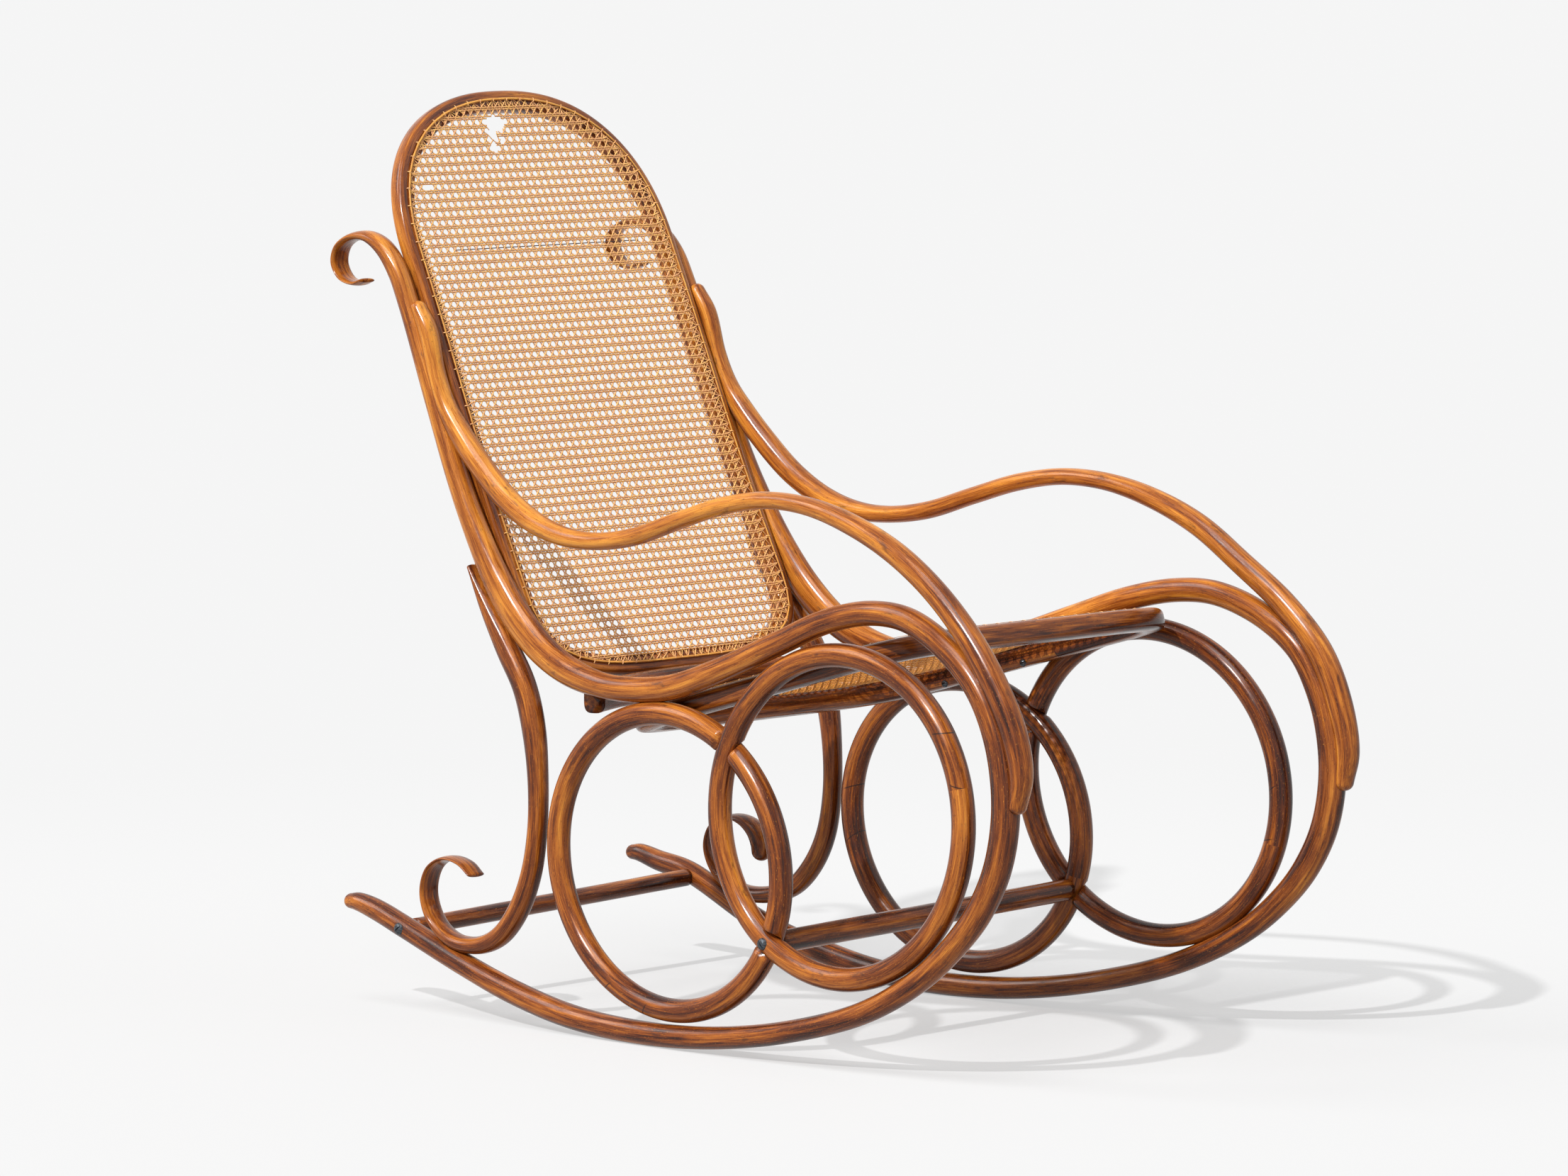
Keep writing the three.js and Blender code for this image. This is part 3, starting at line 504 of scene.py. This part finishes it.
def ring_path(label, which, side):
    """An ellipse in the panel: its middle plus the half axes times the angle's cosine and sine."""
    middle, ahead, above = (
        np.array(row) * (side_length, side_height) for row in ring_shares[which, label])
    angle = 2 * np.pi * np.arange(ring_sections) / ring_sections
    flat = middle + np.cos(angle)[:, None] * ahead + np.sin(angle)[:, None] * above
    return panel_point(side, flat[:, 0], flat[:, 1])


def lap(other, keeps_outer):
    """Cuts a ring back to its middle plane on one face where the other ring passes over it."""
    def cut(centre, y):
        distance = np.linalg.norm(centre[:, None] - other[None], axis=2).min(1)
        crossed = (distance < lap_reach * ring_rod / 2)[:, None]
        return np.where(crossed, np.maximum(y, 0) if keeps_outer else np.minimum(y, 0), y)
    return cut


# the left rings get a darker copy of the ring beech: painted shade, for the near side's shadow over
# them
ring_beech = {"right": beech("ring_beech", shift=0.055, wear=1.0, joint=True),
              "left": beech("ring_beech_painted_shade", shift=0.015, wear=1.0, joint=True)}
for label, side in sides.items():
    front, rear = ring_path(label, "front", side), ring_path(label, "rear", side)
    for which, path, other in (("front", front, rear), ("rear", rear, front)):
        add_rod(f"{label}_{which}_ring", path, panel_out(side), ring_rod / 2, ring_rod / 2,
                ring_beech[label], [f"{which}_ring_{label}"], closed=True,
                notch=lap(other, which == "front"), start=joint_way - ring_joints[which, label])


# The rear supports: a bent beech rod behind each post, thinned at both ends. Its tip lies against
# the post, and it comes down to the lower scroll, which stands on the runner.
support_rod = 0.028
support_shares = [
    (-0.257, 0.580, 0.22, 0.60), (-0.231, 0.530, 0.70, 0.86), (-0.203, 0.480, 1.00, 0.98),
    (-0.178, 0.434, 1.04, 0.96), (-0.164, 0.383, 1.02, 0.94), (-0.157, 0.321, 0.80, 0.92),
    (-0.157, 0.258, 0.72, 0.92), (-0.166, 0.196, 0.80, 0.94), (-0.185, 0.147, 0.84, 0.96),
    (-0.211, 0.113, 0.80, 0.98), (-0.243, 0.098, 0.72, 0.98), (-0.279, 0.101, 0.64, 1.00),
    (-0.307, 0.125, 0.44, 1.04), (-0.318, 0.159, 0.28, 1.04), (-0.310, 0.190, 0.23, 1.04),
    (-0.288, 0.205, 0.21, 1.04), (-0.264, 0.201, 0.20, 1.00), (-0.248, 0.188, 0.20, 0.94),
]
left_curl_back = 0.014
left_curl_lift = 0.008
left_curl_along = (-0.19, -0.27)     # the shares between which the left curl starts to differ
left_curl_up = (0.24, 0.12)
left_curl_tip = [
    (-0.268, 0.201, 0.46, 1.02), (-0.254, 0.187, 0.76, 1.02), (-0.248, 0.170, 0.92, 1.00),
    (-0.248, 0.158, 0.84, 0.90),
]


def support_place(side, shares):
    """Places in a panel for rows of shares, with the left curl further back."""
    along, up = np.asarray(shares, float).T[:2]
    x, y = along * side_length, up * side_height
    if side > 0:
        x = x - left_curl_back * fade(along, *left_curl_along)
        y = y + left_curl_lift * fade(up, *left_curl_up)
    return np.stack([x, y], 1)


umber_beech = beech("umber_beech", shift=0.04, wear=0.8)
for label, side in sides.items():
    rows = support_shares if side < 0 else support_shares[:-2] + left_curl_tip
    panel_rod(f"{label}_rear_support", side, support_place(side, rows), [row[2:] for row in rows],
              support_rod, umber_beech, f"rear_support_{label}")


# The stretchers: two straight turned rods of beech from panel to panel, one at the crossing of the
# rings and one between the tails, each held by a screw at both ends.
front_stretcher_rod = 0.025
rear_stretcher_rod = 0.0205
stretcher_sections = 80
crossing_tries = 4001
bedding = 0.0007          # how deep one piece is let into another


def lower_crossing(label):
    """Where the front ring's lower half meets the rear ring's middle line, in the panel."""
    front, rear = (
        [np.array(row) * (side_length, side_height) for row in ring_shares[which, label]]
        for which in ("front", "rear"))
    angle = np.linspace(np.pi, 1.5 * np.pi, crossing_tries)[:, None]
    flat = front[0] + np.cos(angle) * front[1] + np.sin(angle) * front[2]
    reach = np.linalg.solve(np.stack(rear[1:], 1), (flat - rear[0]).T)
    return flat[np.abs((reach ** 2).sum(0) - 1).argmin()]


def stretcher(name, places, rod, wall, node):
    """A straight rod between a place in each panel, whose own rods have the thickness wall."""
    ends = [panel_point(side, *place, bedding - wall / 2)
            for side, place in zip(sides.values(), places)]
    share = np.linspace(0, 1, stretcher_sections)[:, None]
    centre = ends[0] + share * (ends[1] - ends[0])
    # the stretchers take the left rings' darker copy of the beech: painted shade
    add_rod(name, centre, upright, rod / 2, rod / 2, ring_beech["left"], [node])


stretcher("front_rod", [lower_crossing(label) for label in sides], front_stretcher_rod, ring_rod,
          "front_stretcher")
tail_seats = [
    np.array(seat) * (side_length, side_height) for seat in (right_tail_seat, left_tail_seat)]
stretcher("rear_rod", tail_seats, rear_stretcher_rod, frame_rod, "rear_stretcher")


# The armrests: bent beech rods of a lighter, yellower stain, paler still from the post over the
# crest. Each runs from the post in a wave over the seat and ends at the front of the side frame.
arm_rod = 0.0268
arm_shares = [
    (-0.341, 0.904, 0.66, 0.74), (-0.327, 0.876, 0.82, 0.84), (-0.313, 0.822, 0.74, 0.84),
    (-0.298, 0.782, 0.84, 0.90), (-0.276, 0.747, 1.00, 1.00), (-0.247, 0.711, 1.04, 1.04),
    (-0.207, 0.670, 1.02, 1.04), (-0.164, 0.642, 0.94, 1.00), (-0.120, 0.628, 0.82, 0.94),
    (-0.074, 0.626, 0.74, 0.90), (-0.020, 0.636, 0.76, 0.90), (0.044, 0.661, 0.74, 0.90),
    (0.105, 0.683, 0.74, 0.90), (0.165, 0.694, 0.72, 0.90), (0.225, 0.690, 0.76, 0.92),
    (0.286, 0.671, 0.88, 0.96), (0.344, 0.641, 0.97, 1.00), (0.397, 0.599, 1.00, 1.02),
    (0.444, 0.546, 1.06, 1.04), (0.480, 0.489, 1.13, 1.06), (0.504, 0.436, 1.12, 1.04),
    (0.514, 0.388, 0.98, 0.98), (0.510, 0.352, 0.70, 0.84),
]
honey_beech = {
    "right": beech("honey_beech", shift=0.06, wear=0.8, paling_amount=0.13, paling_to=0.95),
    "left": beech("tawny_beech", shift=0.065, wear=0.8, paling_amount=0.11, paling_to=0.95),
}
for label, side in sides.items():
    panel_rod(f"{label}_armrest", side, bent_place(side, arm_shares),
              [row[2:] for row in arm_shares], arm_rod, honey_beech[label],
              f"armrest_{label}")


# The screws: slotted round-head screws of steel, dulled by age, through the seat's rail, the
# rings' crossings and the tails. Their solids stay, and only their finish is made here.
bare_steel = (0.10, 0.115, 0.13, 1)
rusty_steel = (0.035, 0.03, 0.03, 1)
steel = Shader(bpy.data.materials.new("old_steel"))
place = steel.node("ShaderNodeTexCoord", {}, {}, "Object")
spots = steel.noise(place, (0.0015, 0.0015, 0.0015), 3, 0.6)
tone = steel.mix(spots.clip(0.40, 0.66), bare_steel, rusty_steel)
old_steel = steel.finish(steel.node("ShaderNodeBsdfPrincipled", {}, {
    "Base Color": tone, "Metallic": 1 - 0.6 * spots.clip(0.5, 0.7),
    "Roughness": 0.25 + 0.3 * spots}))
for name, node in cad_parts.items():
    if "screw" in name:
        node.data.materials.clear()
        node.data.materials.append(old_steel)


# The seat: a rail of beech bent round to a square with full corners, screwed through the front
# rings, with hand-woven cane stretched over it and a strip of cane bound over its holes.
seat_depth = 0.474
seat_rail_width = 0.033
seat_rail_height = 0.0255
seat_rail_lift = 0.00175  # the rail is thinner than its solid, and keeps its upper side
seat_tilt = np.radians(15.4)
seat_place = (0.137 * side_length, 0.458 * side_height)
seat_corner_power = 7
rail_power = 3.4
rail_sections = 480
rail_facets = 48
cane_lie = 0.0004         # of the weave's middle over the rail
strip_share = 0.970       # of the rail's middle line: where the strip and the holes under it lie
seat_sag = 0.018
seat_across = np.array([1.0, 0, 0])
seat_ahead = np.array([0, -np.cos(seat_tilt), np.sin(seat_tilt)])
seat_normal = np.array([0, np.sin(seat_tilt), np.cos(seat_tilt)])


def seat_point(x, y, z):
    """x to the left panel, y to the front and z up from the middle of the seat's rail."""
    x, y, z = (value[..., None] for value in np.broadcast_arrays(*np.atleast_1d(x, y, z)))
    middle = np.array([0, -seat_place[0], seat_place[1]]) + chair_place
    return middle + x * seat_across + y * seat_ahead + z * seat_normal


def signed_power(value, power):
    """A power that keeps the sign, for the outline of a superellipse."""
    return np.sign(value) * np.abs(value) ** power


def seat_half_width(y):
    """Half the seat's width: its sides lie against the rings of both panels."""
    place = panel_point(1, *seat_place)[0] - chair_place[0]
    return place - ring_rod / 2 + bedding + y * np.sin(toe)


seat_half_depth = (seat_depth - seat_rail_width) / 2


def seat_half_span(y):
    """Half the width at a depth, on the middle line of the rail: a superellipse."""
    depth = np.minimum(np.abs(y) / seat_half_depth, 1)
    corner = (1 - depth ** seat_corner_power) ** (1 / seat_corner_power)
    return (seat_half_width(y) - seat_rail_width / 2) * corner


angle = 2 * np.pi * (np.arange(rail_sections) + 0.5) / rail_sections
plan_y = seat_half_depth * signed_power(np.sin(angle), 2 / seat_corner_power)
plan_x = signed_power(np.cos(angle), 2 / seat_corner_power)
plan_x = (seat_half_width(plan_y) - seat_rail_width / 2) * plan_x
plan = np.stack([plan_x, plan_y], 1)


def even(path, count):
    """The same closed path with its points at even distances."""
    looped = np.vstack([path, path[:1]])
    way = np.r_[0, np.cumsum(np.linalg.norm(np.diff(looped, axis=0), axis=1))]
    at = np.linspace(0, way[-1], count, endpoint=False)
    return np.stack([np.interp(at, way, column) for column in looped.T], 1)


plan = even(plan, rail_sections)
rail_beech = beech("rail_beech", shift=0.02, wear=0.5)
add_rod("seat_rail", seat_point(plan[:, 0], plan[:, 1], seat_rail_lift), seat_normal,
        seat_rail_width / 2, seat_rail_height / 2, rail_beech, ["seat_frame"],
        closed=True, power=rail_power, facets=rail_facets)

strand_width = 0.0019
diagonal_width = 0.0016
way_widths = {"columns": strand_width, "rows": strand_width,
              "rising": diagonal_width, "falling": diagonal_width}
cane_edge = (0.30 * strand_width, 0.50 * strand_width)    # from a strand's middle line
# how dark the strands' edges are made: dirt, and painted shade where the strands meet
cane_edge_dirt_and_shade = 0.38
cane_edge_dirt_and_shade_colour = (0.16, 0.055, 0.030, 1)
cane_line_colour = (0.30, 0.095, 0.025, 1)


def cane_material(name, golden, tan):
    """Split rattan: a hard skin between two shades, changing from strand to strand and along each,
    with fine dark lines, and dark edges that are dirt and painted shade between the strands."""
    skin = Shader(bpy.data.materials.new(name))
    lay = skin.node("ShaderNodeAttribute", {"attribute_name": "grain"}, {}, "Vector")
    lines = skin.noise(lay, (0.012, 0.0004, 0.0004), 2, 0.5)
    blotches = skin.noise(lay, (0.015, 0.02, 0.006), 3, 0.6)
    aside = skin.node("ShaderNodeSeparateXYZ", {}, {0: lay}, "Y")
    edge_dirt_and_shade = abs(aside).clip(*cane_edge)
    shade = skin.mix(blotches.clip(0.36, 0.62), golden, tan)
    shade = skin.mix(lines.clip(0.52, 0.68) * 0.45, shade, cane_line_colour)
    # darkens each strand's edges: dirt and painted shade between the strands
    shade = skin.mix(edge_dirt_and_shade * cane_edge_dirt_and_shade, shade, cane_edge_dirt_and_shade_colour)
    relief = skin.node("ShaderNodeBump", {}, {
        "Strength": 0.15, "Distance": 0.0002, "Height": lines})
    return skin.finish(skin.node("ShaderNodeBsdfPrincipled", {}, {
        "Base Color": shade, "Roughness": 0.34 + 0.2 * blotches, "Normal": relief,
        "Specular IOR Level": 0.35}))


rattan = cane_material("rattan_cane", (0.99, 0.57, 0.18, 1), (0.84, 0.43, 0.20, 1))
# the seat's cane: a deeper golden than the back's, partly the cane's own colour and partly painted
# light shining through it from above
seat_rattan_painted_through_light = cane_material("golden_cane_painted_through_light", (0.98, 0.43, 0.055, 1), (0.82, 0.33, 0.055, 1))
binder_rattan = cane_material("binder_cane", (0.95, 0.47, 0.085, 1), (0.78, 0.34, 0.065, 1))
strand_thickness = 0.0006
strand_profile = (-0.3, 1, -0.3, -0.6)    # heights of its edge, crown, edge and underside
strand_stride = (0.37, 0.011)     # along and aside in the cane's grain, from strand to strand


def ribbon(centre, travel, normal, width, thickness, offset):
    """One flat strand: four corners carried along a path, crowned by its normal. Gives its points,
    faces and the straightened strand of each corner."""
    across = unit(np.cross(travel, normal))
    lift = unit(np.cross(across, travel))
    x = np.array([-1, 0, 1, 0]) * width / 2
    y = np.array(strand_profile) * thickness / 2
    points = centre[:, None] + x[:, None] * across[:, None] + y[:, None] * lift[:, None]
    count = len(centre)
    grid = offset + np.arange(4 * count).reshape(count, 4)
    turned = np.roll(grid, -1, 1)
    quads = np.stack([grid[:-1], turned[:-1], turned[1:], grid[1:]], 2).reshape(-1, 4)
    way = np.r_[0, np.cumsum(np.linalg.norm(np.diff(centre, axis=0), axis=1))]
    return points.reshape(-1, 3), quads, way, x, y


def weave(name, lines, surface, normal_at, finish, stands_for=(), width=strand_width):
    """Strands along lines in a panel's own flat coordinates, laid on its surface. Each line is
    a row of places with a height, and each strand gets its own stretch of the cane's grain."""
    all_points, all_faces, all_grain = [], [], []
    offset = 0
    for number, line in enumerate(lines):
        centre = surface(line[:, 0], line[:, 1], line[:, 2])
        travel = np.gradient(centre, axis=0)
        points, quads, way, x, y = ribbon(
            centre, travel, normal_at(line[:, 1]), width, strand_thickness, offset)
        way, y = way[:, None] + strand_stride[0] * number, y + strand_stride[1] * number
        grain = np.stack(np.broadcast_arrays(way, x, y), 2)
        shifted = np.roll(grain, -1, 1)
        corners = np.stack([grain[:-1], shifted[:-1], shifted[1:], grain[1:]], 2).reshape(-1, 3)
        all_points.append(points)
        all_faces.append(quads)
        all_grain.append(corners)
        offset += len(points)
    add_piece(name, np.vstack(all_points), np.vstack(all_faces).tolist(), np.vstack(all_grain),
              finish, stands_for)


column_pair = 0.0028      # between the two strands of a pair
row_pair = 0.0025
weave_height = 0.00048
column_lift = -0.5 * weave_height
row_lift = 0.5 * weave_height
rising_lift = 0.3 * weave_height
falling_lift = 0.6 * weave_height
strand_step = 0.0029      # between the points of a strand
shortest_run = 3          # a strand has more points than this
end_reach = 0.016         # how far off a hole draws the end of a strand
end_bend_power = 1.5
end_dip = 0.0012          # into the hole
end_dip_power = 8


def cane_lines(half_span, low, high, columns, rows, column_gap, row_gap, height, holes, tears=()):
    """The six ways of the weave, as lines in the panel's flat coordinates: pairs of columns under
    pairs of rows, and two diagonals that pass over the columns and under the rows, or the reverse.
    A strand's end bends to the nearest hole of the rail and goes down into it, and a tear, an
    ellipse given by its middle and half sizes, breaks the strands that cross it."""
    def inside(x, y):
        """Where a strand is whole: inside the outline and outside the tears."""
        whole = (np.abs(x) < half_span(y)) & (y > low) & (y < high)
        for tear_x, tear_y, half_x, half_y in tears:
            whole = whole & (((x - tear_x) / half_x) ** 2 + ((y - tear_y) / half_y) ** 2 > 1)
        return whole

    def drawn_in(run):
        """Moves an end of a strand to the nearest hole, and the rest less with its distance."""
        for end in (0, -1):
            away = np.linalg.norm(holes - run[end, :2], axis=1)
            if away.min() < end_reach:
                pull = holes[away.argmin()] - run[end, :2]
                back = np.linalg.norm(run[:, :2] - run[end, :2], axis=1)
                share = np.clip(1 - back / end_reach, 0, 1)
                run[:, :2] += share[:, None] ** end_bend_power * pull
                run[:, 2] -= end_dip * share ** end_dip_power
        return run

    def line(start, direction, reach, lift):
        """The runs of strand that are left of one line through the whole panel."""
        t = np.arange(-reach, reach, strand_step)
        x, y = start[0] + direction[0] * t, start[1] + direction[1] * t
        keep = inside(x, y)
        places = np.stack([x, y, height + lift(x, y)], 1)
        cuts = np.flatnonzero(np.diff(keep.astype(int))) + 1
        runs = zip(np.split(places, cuts), keep[np.r_[0, cuts]])
        return [drawn_in(run) for run, kept in runs if kept and len(run) > shortest_run]

    middle = (low + high) / 2
    reach = high - low
    column_at = (np.arange(columns) - (columns - 1) / 2) * column_gap
    row_at = middle + (np.arange(rows) - (rows - 1) / 2) * row_gap

    def over_columns(x, y):
        return weave_height * np.cos(2 * np.pi * (x - column_at[0]) / column_gap)

    def over_rows(x, y):
        return weave_height * np.cos(2 * np.pi * (y - row_at[0]) / row_gap)

    def rising(x, y):
        return 0.5 * over_columns(x, y) - 0.5 * over_rows(x, y) + rising_lift

    def falling(x, y):
        return 0.5 * over_rows(x, y) - 0.5 * over_columns(x, y) + falling_lift

    groups = {"columns": [], "rows": [], "rising": [], "falling": []}
    for x in column_at:
        for step in (-column_pair / 2, column_pair / 2):
            groups["columns"] += line((x + step, middle), (0, 1), reach,
                                      lambda x, y: column_lift + 0 * x)
    for y in row_at:
        for step in (-row_pair / 2, row_pair / 2):
            groups["rows"] += line((0, y + step), (1, 0), reach, lambda x, y: row_lift + 0 * x)
    slope = row_gap / column_gap
    length = np.hypot(1, slope)
    spread = int(columns / 2 + rows / 2) + 2
    shift = ((columns - 1) % 2) / 2 + ((rows - 1) % 2) / 2 + 0.5
    for number in range(-spread, spread + 1):
        # with this shift a diagonal crosses each column midway between two rows
        start = ((number + shift) * column_gap, middle)
        groups["rising"] += line(start, (1 / length, slope / length), 2 * reach, rising)
        groups["falling"] += line(start, (-1 / length, slope / length), 2 * reach, falling)
    return groups


def sagging(x, y, z):
    """A place of the seat's cane, which sags as a paraboloid inside its rail."""
    sides_share = np.clip(1 - (x / (seat_half_width(y) - seat_rail_width)) ** 2, 0, 1)
    ends_share = np.clip(1 - (y / (seat_half_depth - seat_rail_width / 2)) ** 2, 0, 1)
    return seat_point(x, y, z - seat_sag * sides_share * ends_share)


seat_cane_height = seat_rail_lift + seat_rail_height / 2 + cane_lie
stitch_step = 0.022       # the strip is stitched down at every second hole


def rail_holes(outline):
    """The holes of a rail, evenly along the strip's line, about one for each pair of strands."""
    looped = np.vstack([outline, outline[:1]])
    length = np.linalg.norm(np.diff(looped, axis=0), axis=1).sum()
    return even(outline, int(length / stitch_step * 2))


def strip_half_span(y):
    """Half the width at a depth, on the line of the strip."""
    return strip_share * seat_half_span(y / strip_share)


def seat_normal_at(y):
    """Square to the seat's rail, which is flat."""
    return np.broadcast_to(seat_normal, (len(y), 3))


seat_columns = 37
seat_rows = 39
column_pitch = 0.0117
seat_strip = strip_share * plan
strip_half_depth = strip_share * seat_half_depth
seat_lines = cane_lines(strip_half_span, -strip_half_depth, strip_half_depth, seat_columns,
                        seat_rows, column_pitch, column_pitch, seat_cane_height,
                        rail_holes(seat_strip))
for way, lines in seat_lines.items():
    weave(f"seat_cane_{way}", lines, sagging, seat_normal_at, seat_rattan_painted_through_light, ["seat_cane"],
          way_widths[way])

binder_width = 0.0032
binder_lift = 0.0008      # of the strip over the weave's middle
binder_rise = [
    # share of the way from one stitch to the next, and height in thicknesses of a strand
    (-0.06, -0.5), (0.0, 0.4), (0.08, 1.0), (0.35, 1.1), (0.65, 1.1), (0.92, 1.0), (1.0, 0.1),
    (1.05, -0.8),
]
stitch_rise = [
    # share of the way from the strip's middle to the stitch's end, and height
    (-1, -2.5), (-0.85, 0.3), (-0.4, 1.6), (0.4, 1.6), (0.85, 0.3), (1, -2.5),
]
stitch_slant = 0.25
stitch_width = 0.8 * strand_width
stitch_reach = 0.5 * binder_width + 0.7 * strand_width


def binding(name, outline, height, surface, normal_at):
    """The strip of cane over the ends of the strands: straight pieces from one stitched hole to
    the next along the outline, each ending under the next, and a stitch across it at each hole."""
    holes = rail_holes(outline)[::2]
    share, rise = np.array(binder_rise).T
    stitch_share, stitch_lift = np.array(stitch_rise).T
    strips, stitches = [], []
    for here, there in zip(holes, np.roll(holes, -1, 0)):
        ahead = there - here
        step = ahead / np.linalg.norm(ahead)
        aside = np.array([-step[1], step[0]])
        strip = here + share[:, None] * ahead
        strips.append(np.column_stack([strip, height + binder_lift + rise * strand_thickness]))
        stitch = here + stitch_reach * stitch_share[:, None] * (aside + stitch_slant * step)
        stitches.append(np.column_stack([
            stitch, height + binder_lift + stitch_lift * strand_thickness]))
    weave(f"{name}_binder", strips, surface, normal_at, binder_rattan, width=binder_width)
    weave(f"{name}_stitches", stitches, surface, normal_at, rattan, width=stitch_width)


binding("seat_cane", seat_strip, seat_cane_height, seat_point, seat_normal_at)


# The back: a loop of bent beech with an arched top, caned by hand like the seat. It leans against
# the posts and the armrests.
back_inset = 0.0375
back_side_height = 0.398
back_arch_height = 0.196
back_foot_height = 0.122
back_splay = np.radians(0.7)
back_rail_width = 0.025
back_rail_depth = 0.021
back_profile_shares = [
    (-0.174, 0.446), (-0.270, 0.690), (-0.341, 0.891), (-0.410, 1.082), (-0.435, 1.1571)]
back_profile_steps = 200
back_foot_power = 3.6
back_arch_power = 2.35
back_quarter_steps = 400
back_loop_sections = 640
profile = smooth_through(np.array(back_profile_shares) * (-side_length, side_height),
                         back_profile_steps, 0.5)
profile_way = np.r_[0, np.cumsum(np.linalg.norm(np.diff(profile, axis=0), axis=1))]
profile_slope = unit(np.gradient(profile, axis=0))
back_total = back_side_height + back_arch_height + back_foot_height - back_rail_width
foot_top = back_foot_height - back_rail_width / 2
arch_foot = foot_top + back_side_height
arch_reach = back_arch_height - back_rail_width / 2


def back_normal(height):
    """Square to the back's profile, to the front."""
    at = np.clip(height / back_total, 0, 1) * profile_way[-1]
    slope = np.stack([np.interp(at, profile_way, column) for column in profile_slope.T], 1)
    return unit(np.stack([0 * at, -slope[:, 1], slope[:, 0]], 1))


def back_point(x, height, forward):
    """x to the left, height along the profile from the loop's foot, and forward from its middle."""
    x, height, forward = np.broadcast_arrays(*np.atleast_1d(x, height, forward))
    at = np.clip(height / back_total, 0, 1) * profile_way[-1]
    y, z = (np.interp(at, profile_way, column) for column in profile.T)
    return np.stack([x, y, z], 1) + chair_place + forward[:, None] * back_normal(height)


def back_width_at(height):
    """Half the width between the loop's straight sides, which spread towards the foot."""
    spread = np.maximum(0, arch_foot - height) * np.tan(back_splay)
    return (stance_width - back_rail_width) / 2 - back_inset + spread


def back_half_span(height):
    """Half the width on the loop's middle line: straight sides between two superellipses."""
    above = np.clip((height - arch_foot) / arch_reach, 0, 1)
    below = np.clip((foot_top - height) / foot_top, 0, 1)
    arch = (1 - above ** back_arch_power) ** (1 / back_arch_power)
    foot = (1 - below ** back_foot_power) ** (1 / back_foot_power)
    return back_width_at(height) * arch * foot


quarter = np.linspace(0, np.pi / 2, back_quarter_steps)
arch_height = arch_foot + arch_reach * np.sin(quarter) ** (2 / back_arch_power)
arch_x = back_width_at(arch_height) * np.cos(quarter) ** (2 / back_arch_power)
foot_height = foot_top - foot_top * np.sin(quarter) ** (2 / back_foot_power)
foot_x = back_width_at(foot_height) * np.cos(quarter) ** (2 / back_foot_power)
left_half = np.vstack([
    np.stack([foot_x, foot_height], 1)[::-1], np.stack([arch_x, arch_height], 1)])
outline = np.vstack([left_half[:-1], (left_half * (-1, 1))[::-1][:-1]])
outline = even(outline, back_loop_sections)
loop_beech = beech("loop_beech", shift=0.10, wear=0.8)
add_rod("back_loop", back_point(outline[:, 0], outline[:, 1], 0), back_normal(outline[:, 1]),
        back_rail_width / 2, back_rail_depth / 2, loop_beech, ["back_frame"],
        closed=True, power=rail_power, facets=rail_facets)

back_columns = 35
back_rows = 62
row_pitch = 0.01097
back_cane_forward = back_rail_depth / 2 + cane_lie
tears = [
    # across and up the back, then half its width and height
    (-0.024, 0.662, 0.015, 0.0085), (-0.033, 0.648, 0.006, 0.006), (-0.036, 0.633, 0.0035, 0.007),
    (-0.020, 0.640, 0.003, 0.005), (-0.165, 0.587, 0.0045, 0.004),
]
back_lines = cane_lines(back_half_span, 0, back_total, back_columns, back_rows, column_pitch,
                        row_pitch, back_cane_forward, rail_holes(outline), tears)
for way, lines in back_lines.items():
    weave(f"back_cane_{way}", lines, back_point, back_normal, rattan, ["back_cane"],
          way_widths[way])
binding("back_cane", outline, back_cane_forward, back_point, back_normal)

dark_row_ends = (-0.150, 0.155)      # one strand across the back is dark
dark_row_height = 0.5095
dark_row_forward = back_cane_forward + 0.2 * weave_height
dark_row_width = 0.0012
dark_cane = cane_material("dark_cane", (0.10, 0.040, 0.018, 1), (0.035, 0.014, 0.008, 1))
x = np.arange(*dark_row_ends, strand_step)
dark_row = np.column_stack([x, 0 * x + dark_row_height, 0 * x + dark_row_forward])
weave("back_cane_old_row", [dark_row], back_point, back_normal, dark_cane, width=dark_row_width)


# The cross rail: a bowed rail of beech behind the seat, let in under the foot of the back. Its ends
# stand against the side frames, just under their dips.
cross_rail_height = 0.034
cross_rail_depth = 0.024
cross_rail_bow = 0.052
cross_rail_sections = 121
cross_rail_seat = (-0.088 * side_length, 0.427 * side_height)
cross_end = panel_point(1, *cross_rail_seat, bedding - frame_rod / 2) - chair_place
share = np.linspace(-1, 1, cross_rail_sections)
bow = cross_end[1] + cross_rail_bow * (1 - share ** 2)
bowed = np.stack([share * cross_end[0], bow, 0 * share + cross_end[2]], 1)
add_rod("cross_rail", bowed + chair_place, upright, cross_rail_depth / 2, cross_rail_height / 2,
        rail_beech, ["back_cross_rail"], power=rail_power, facets=rail_facets)

bpy.context.view_layer.update()
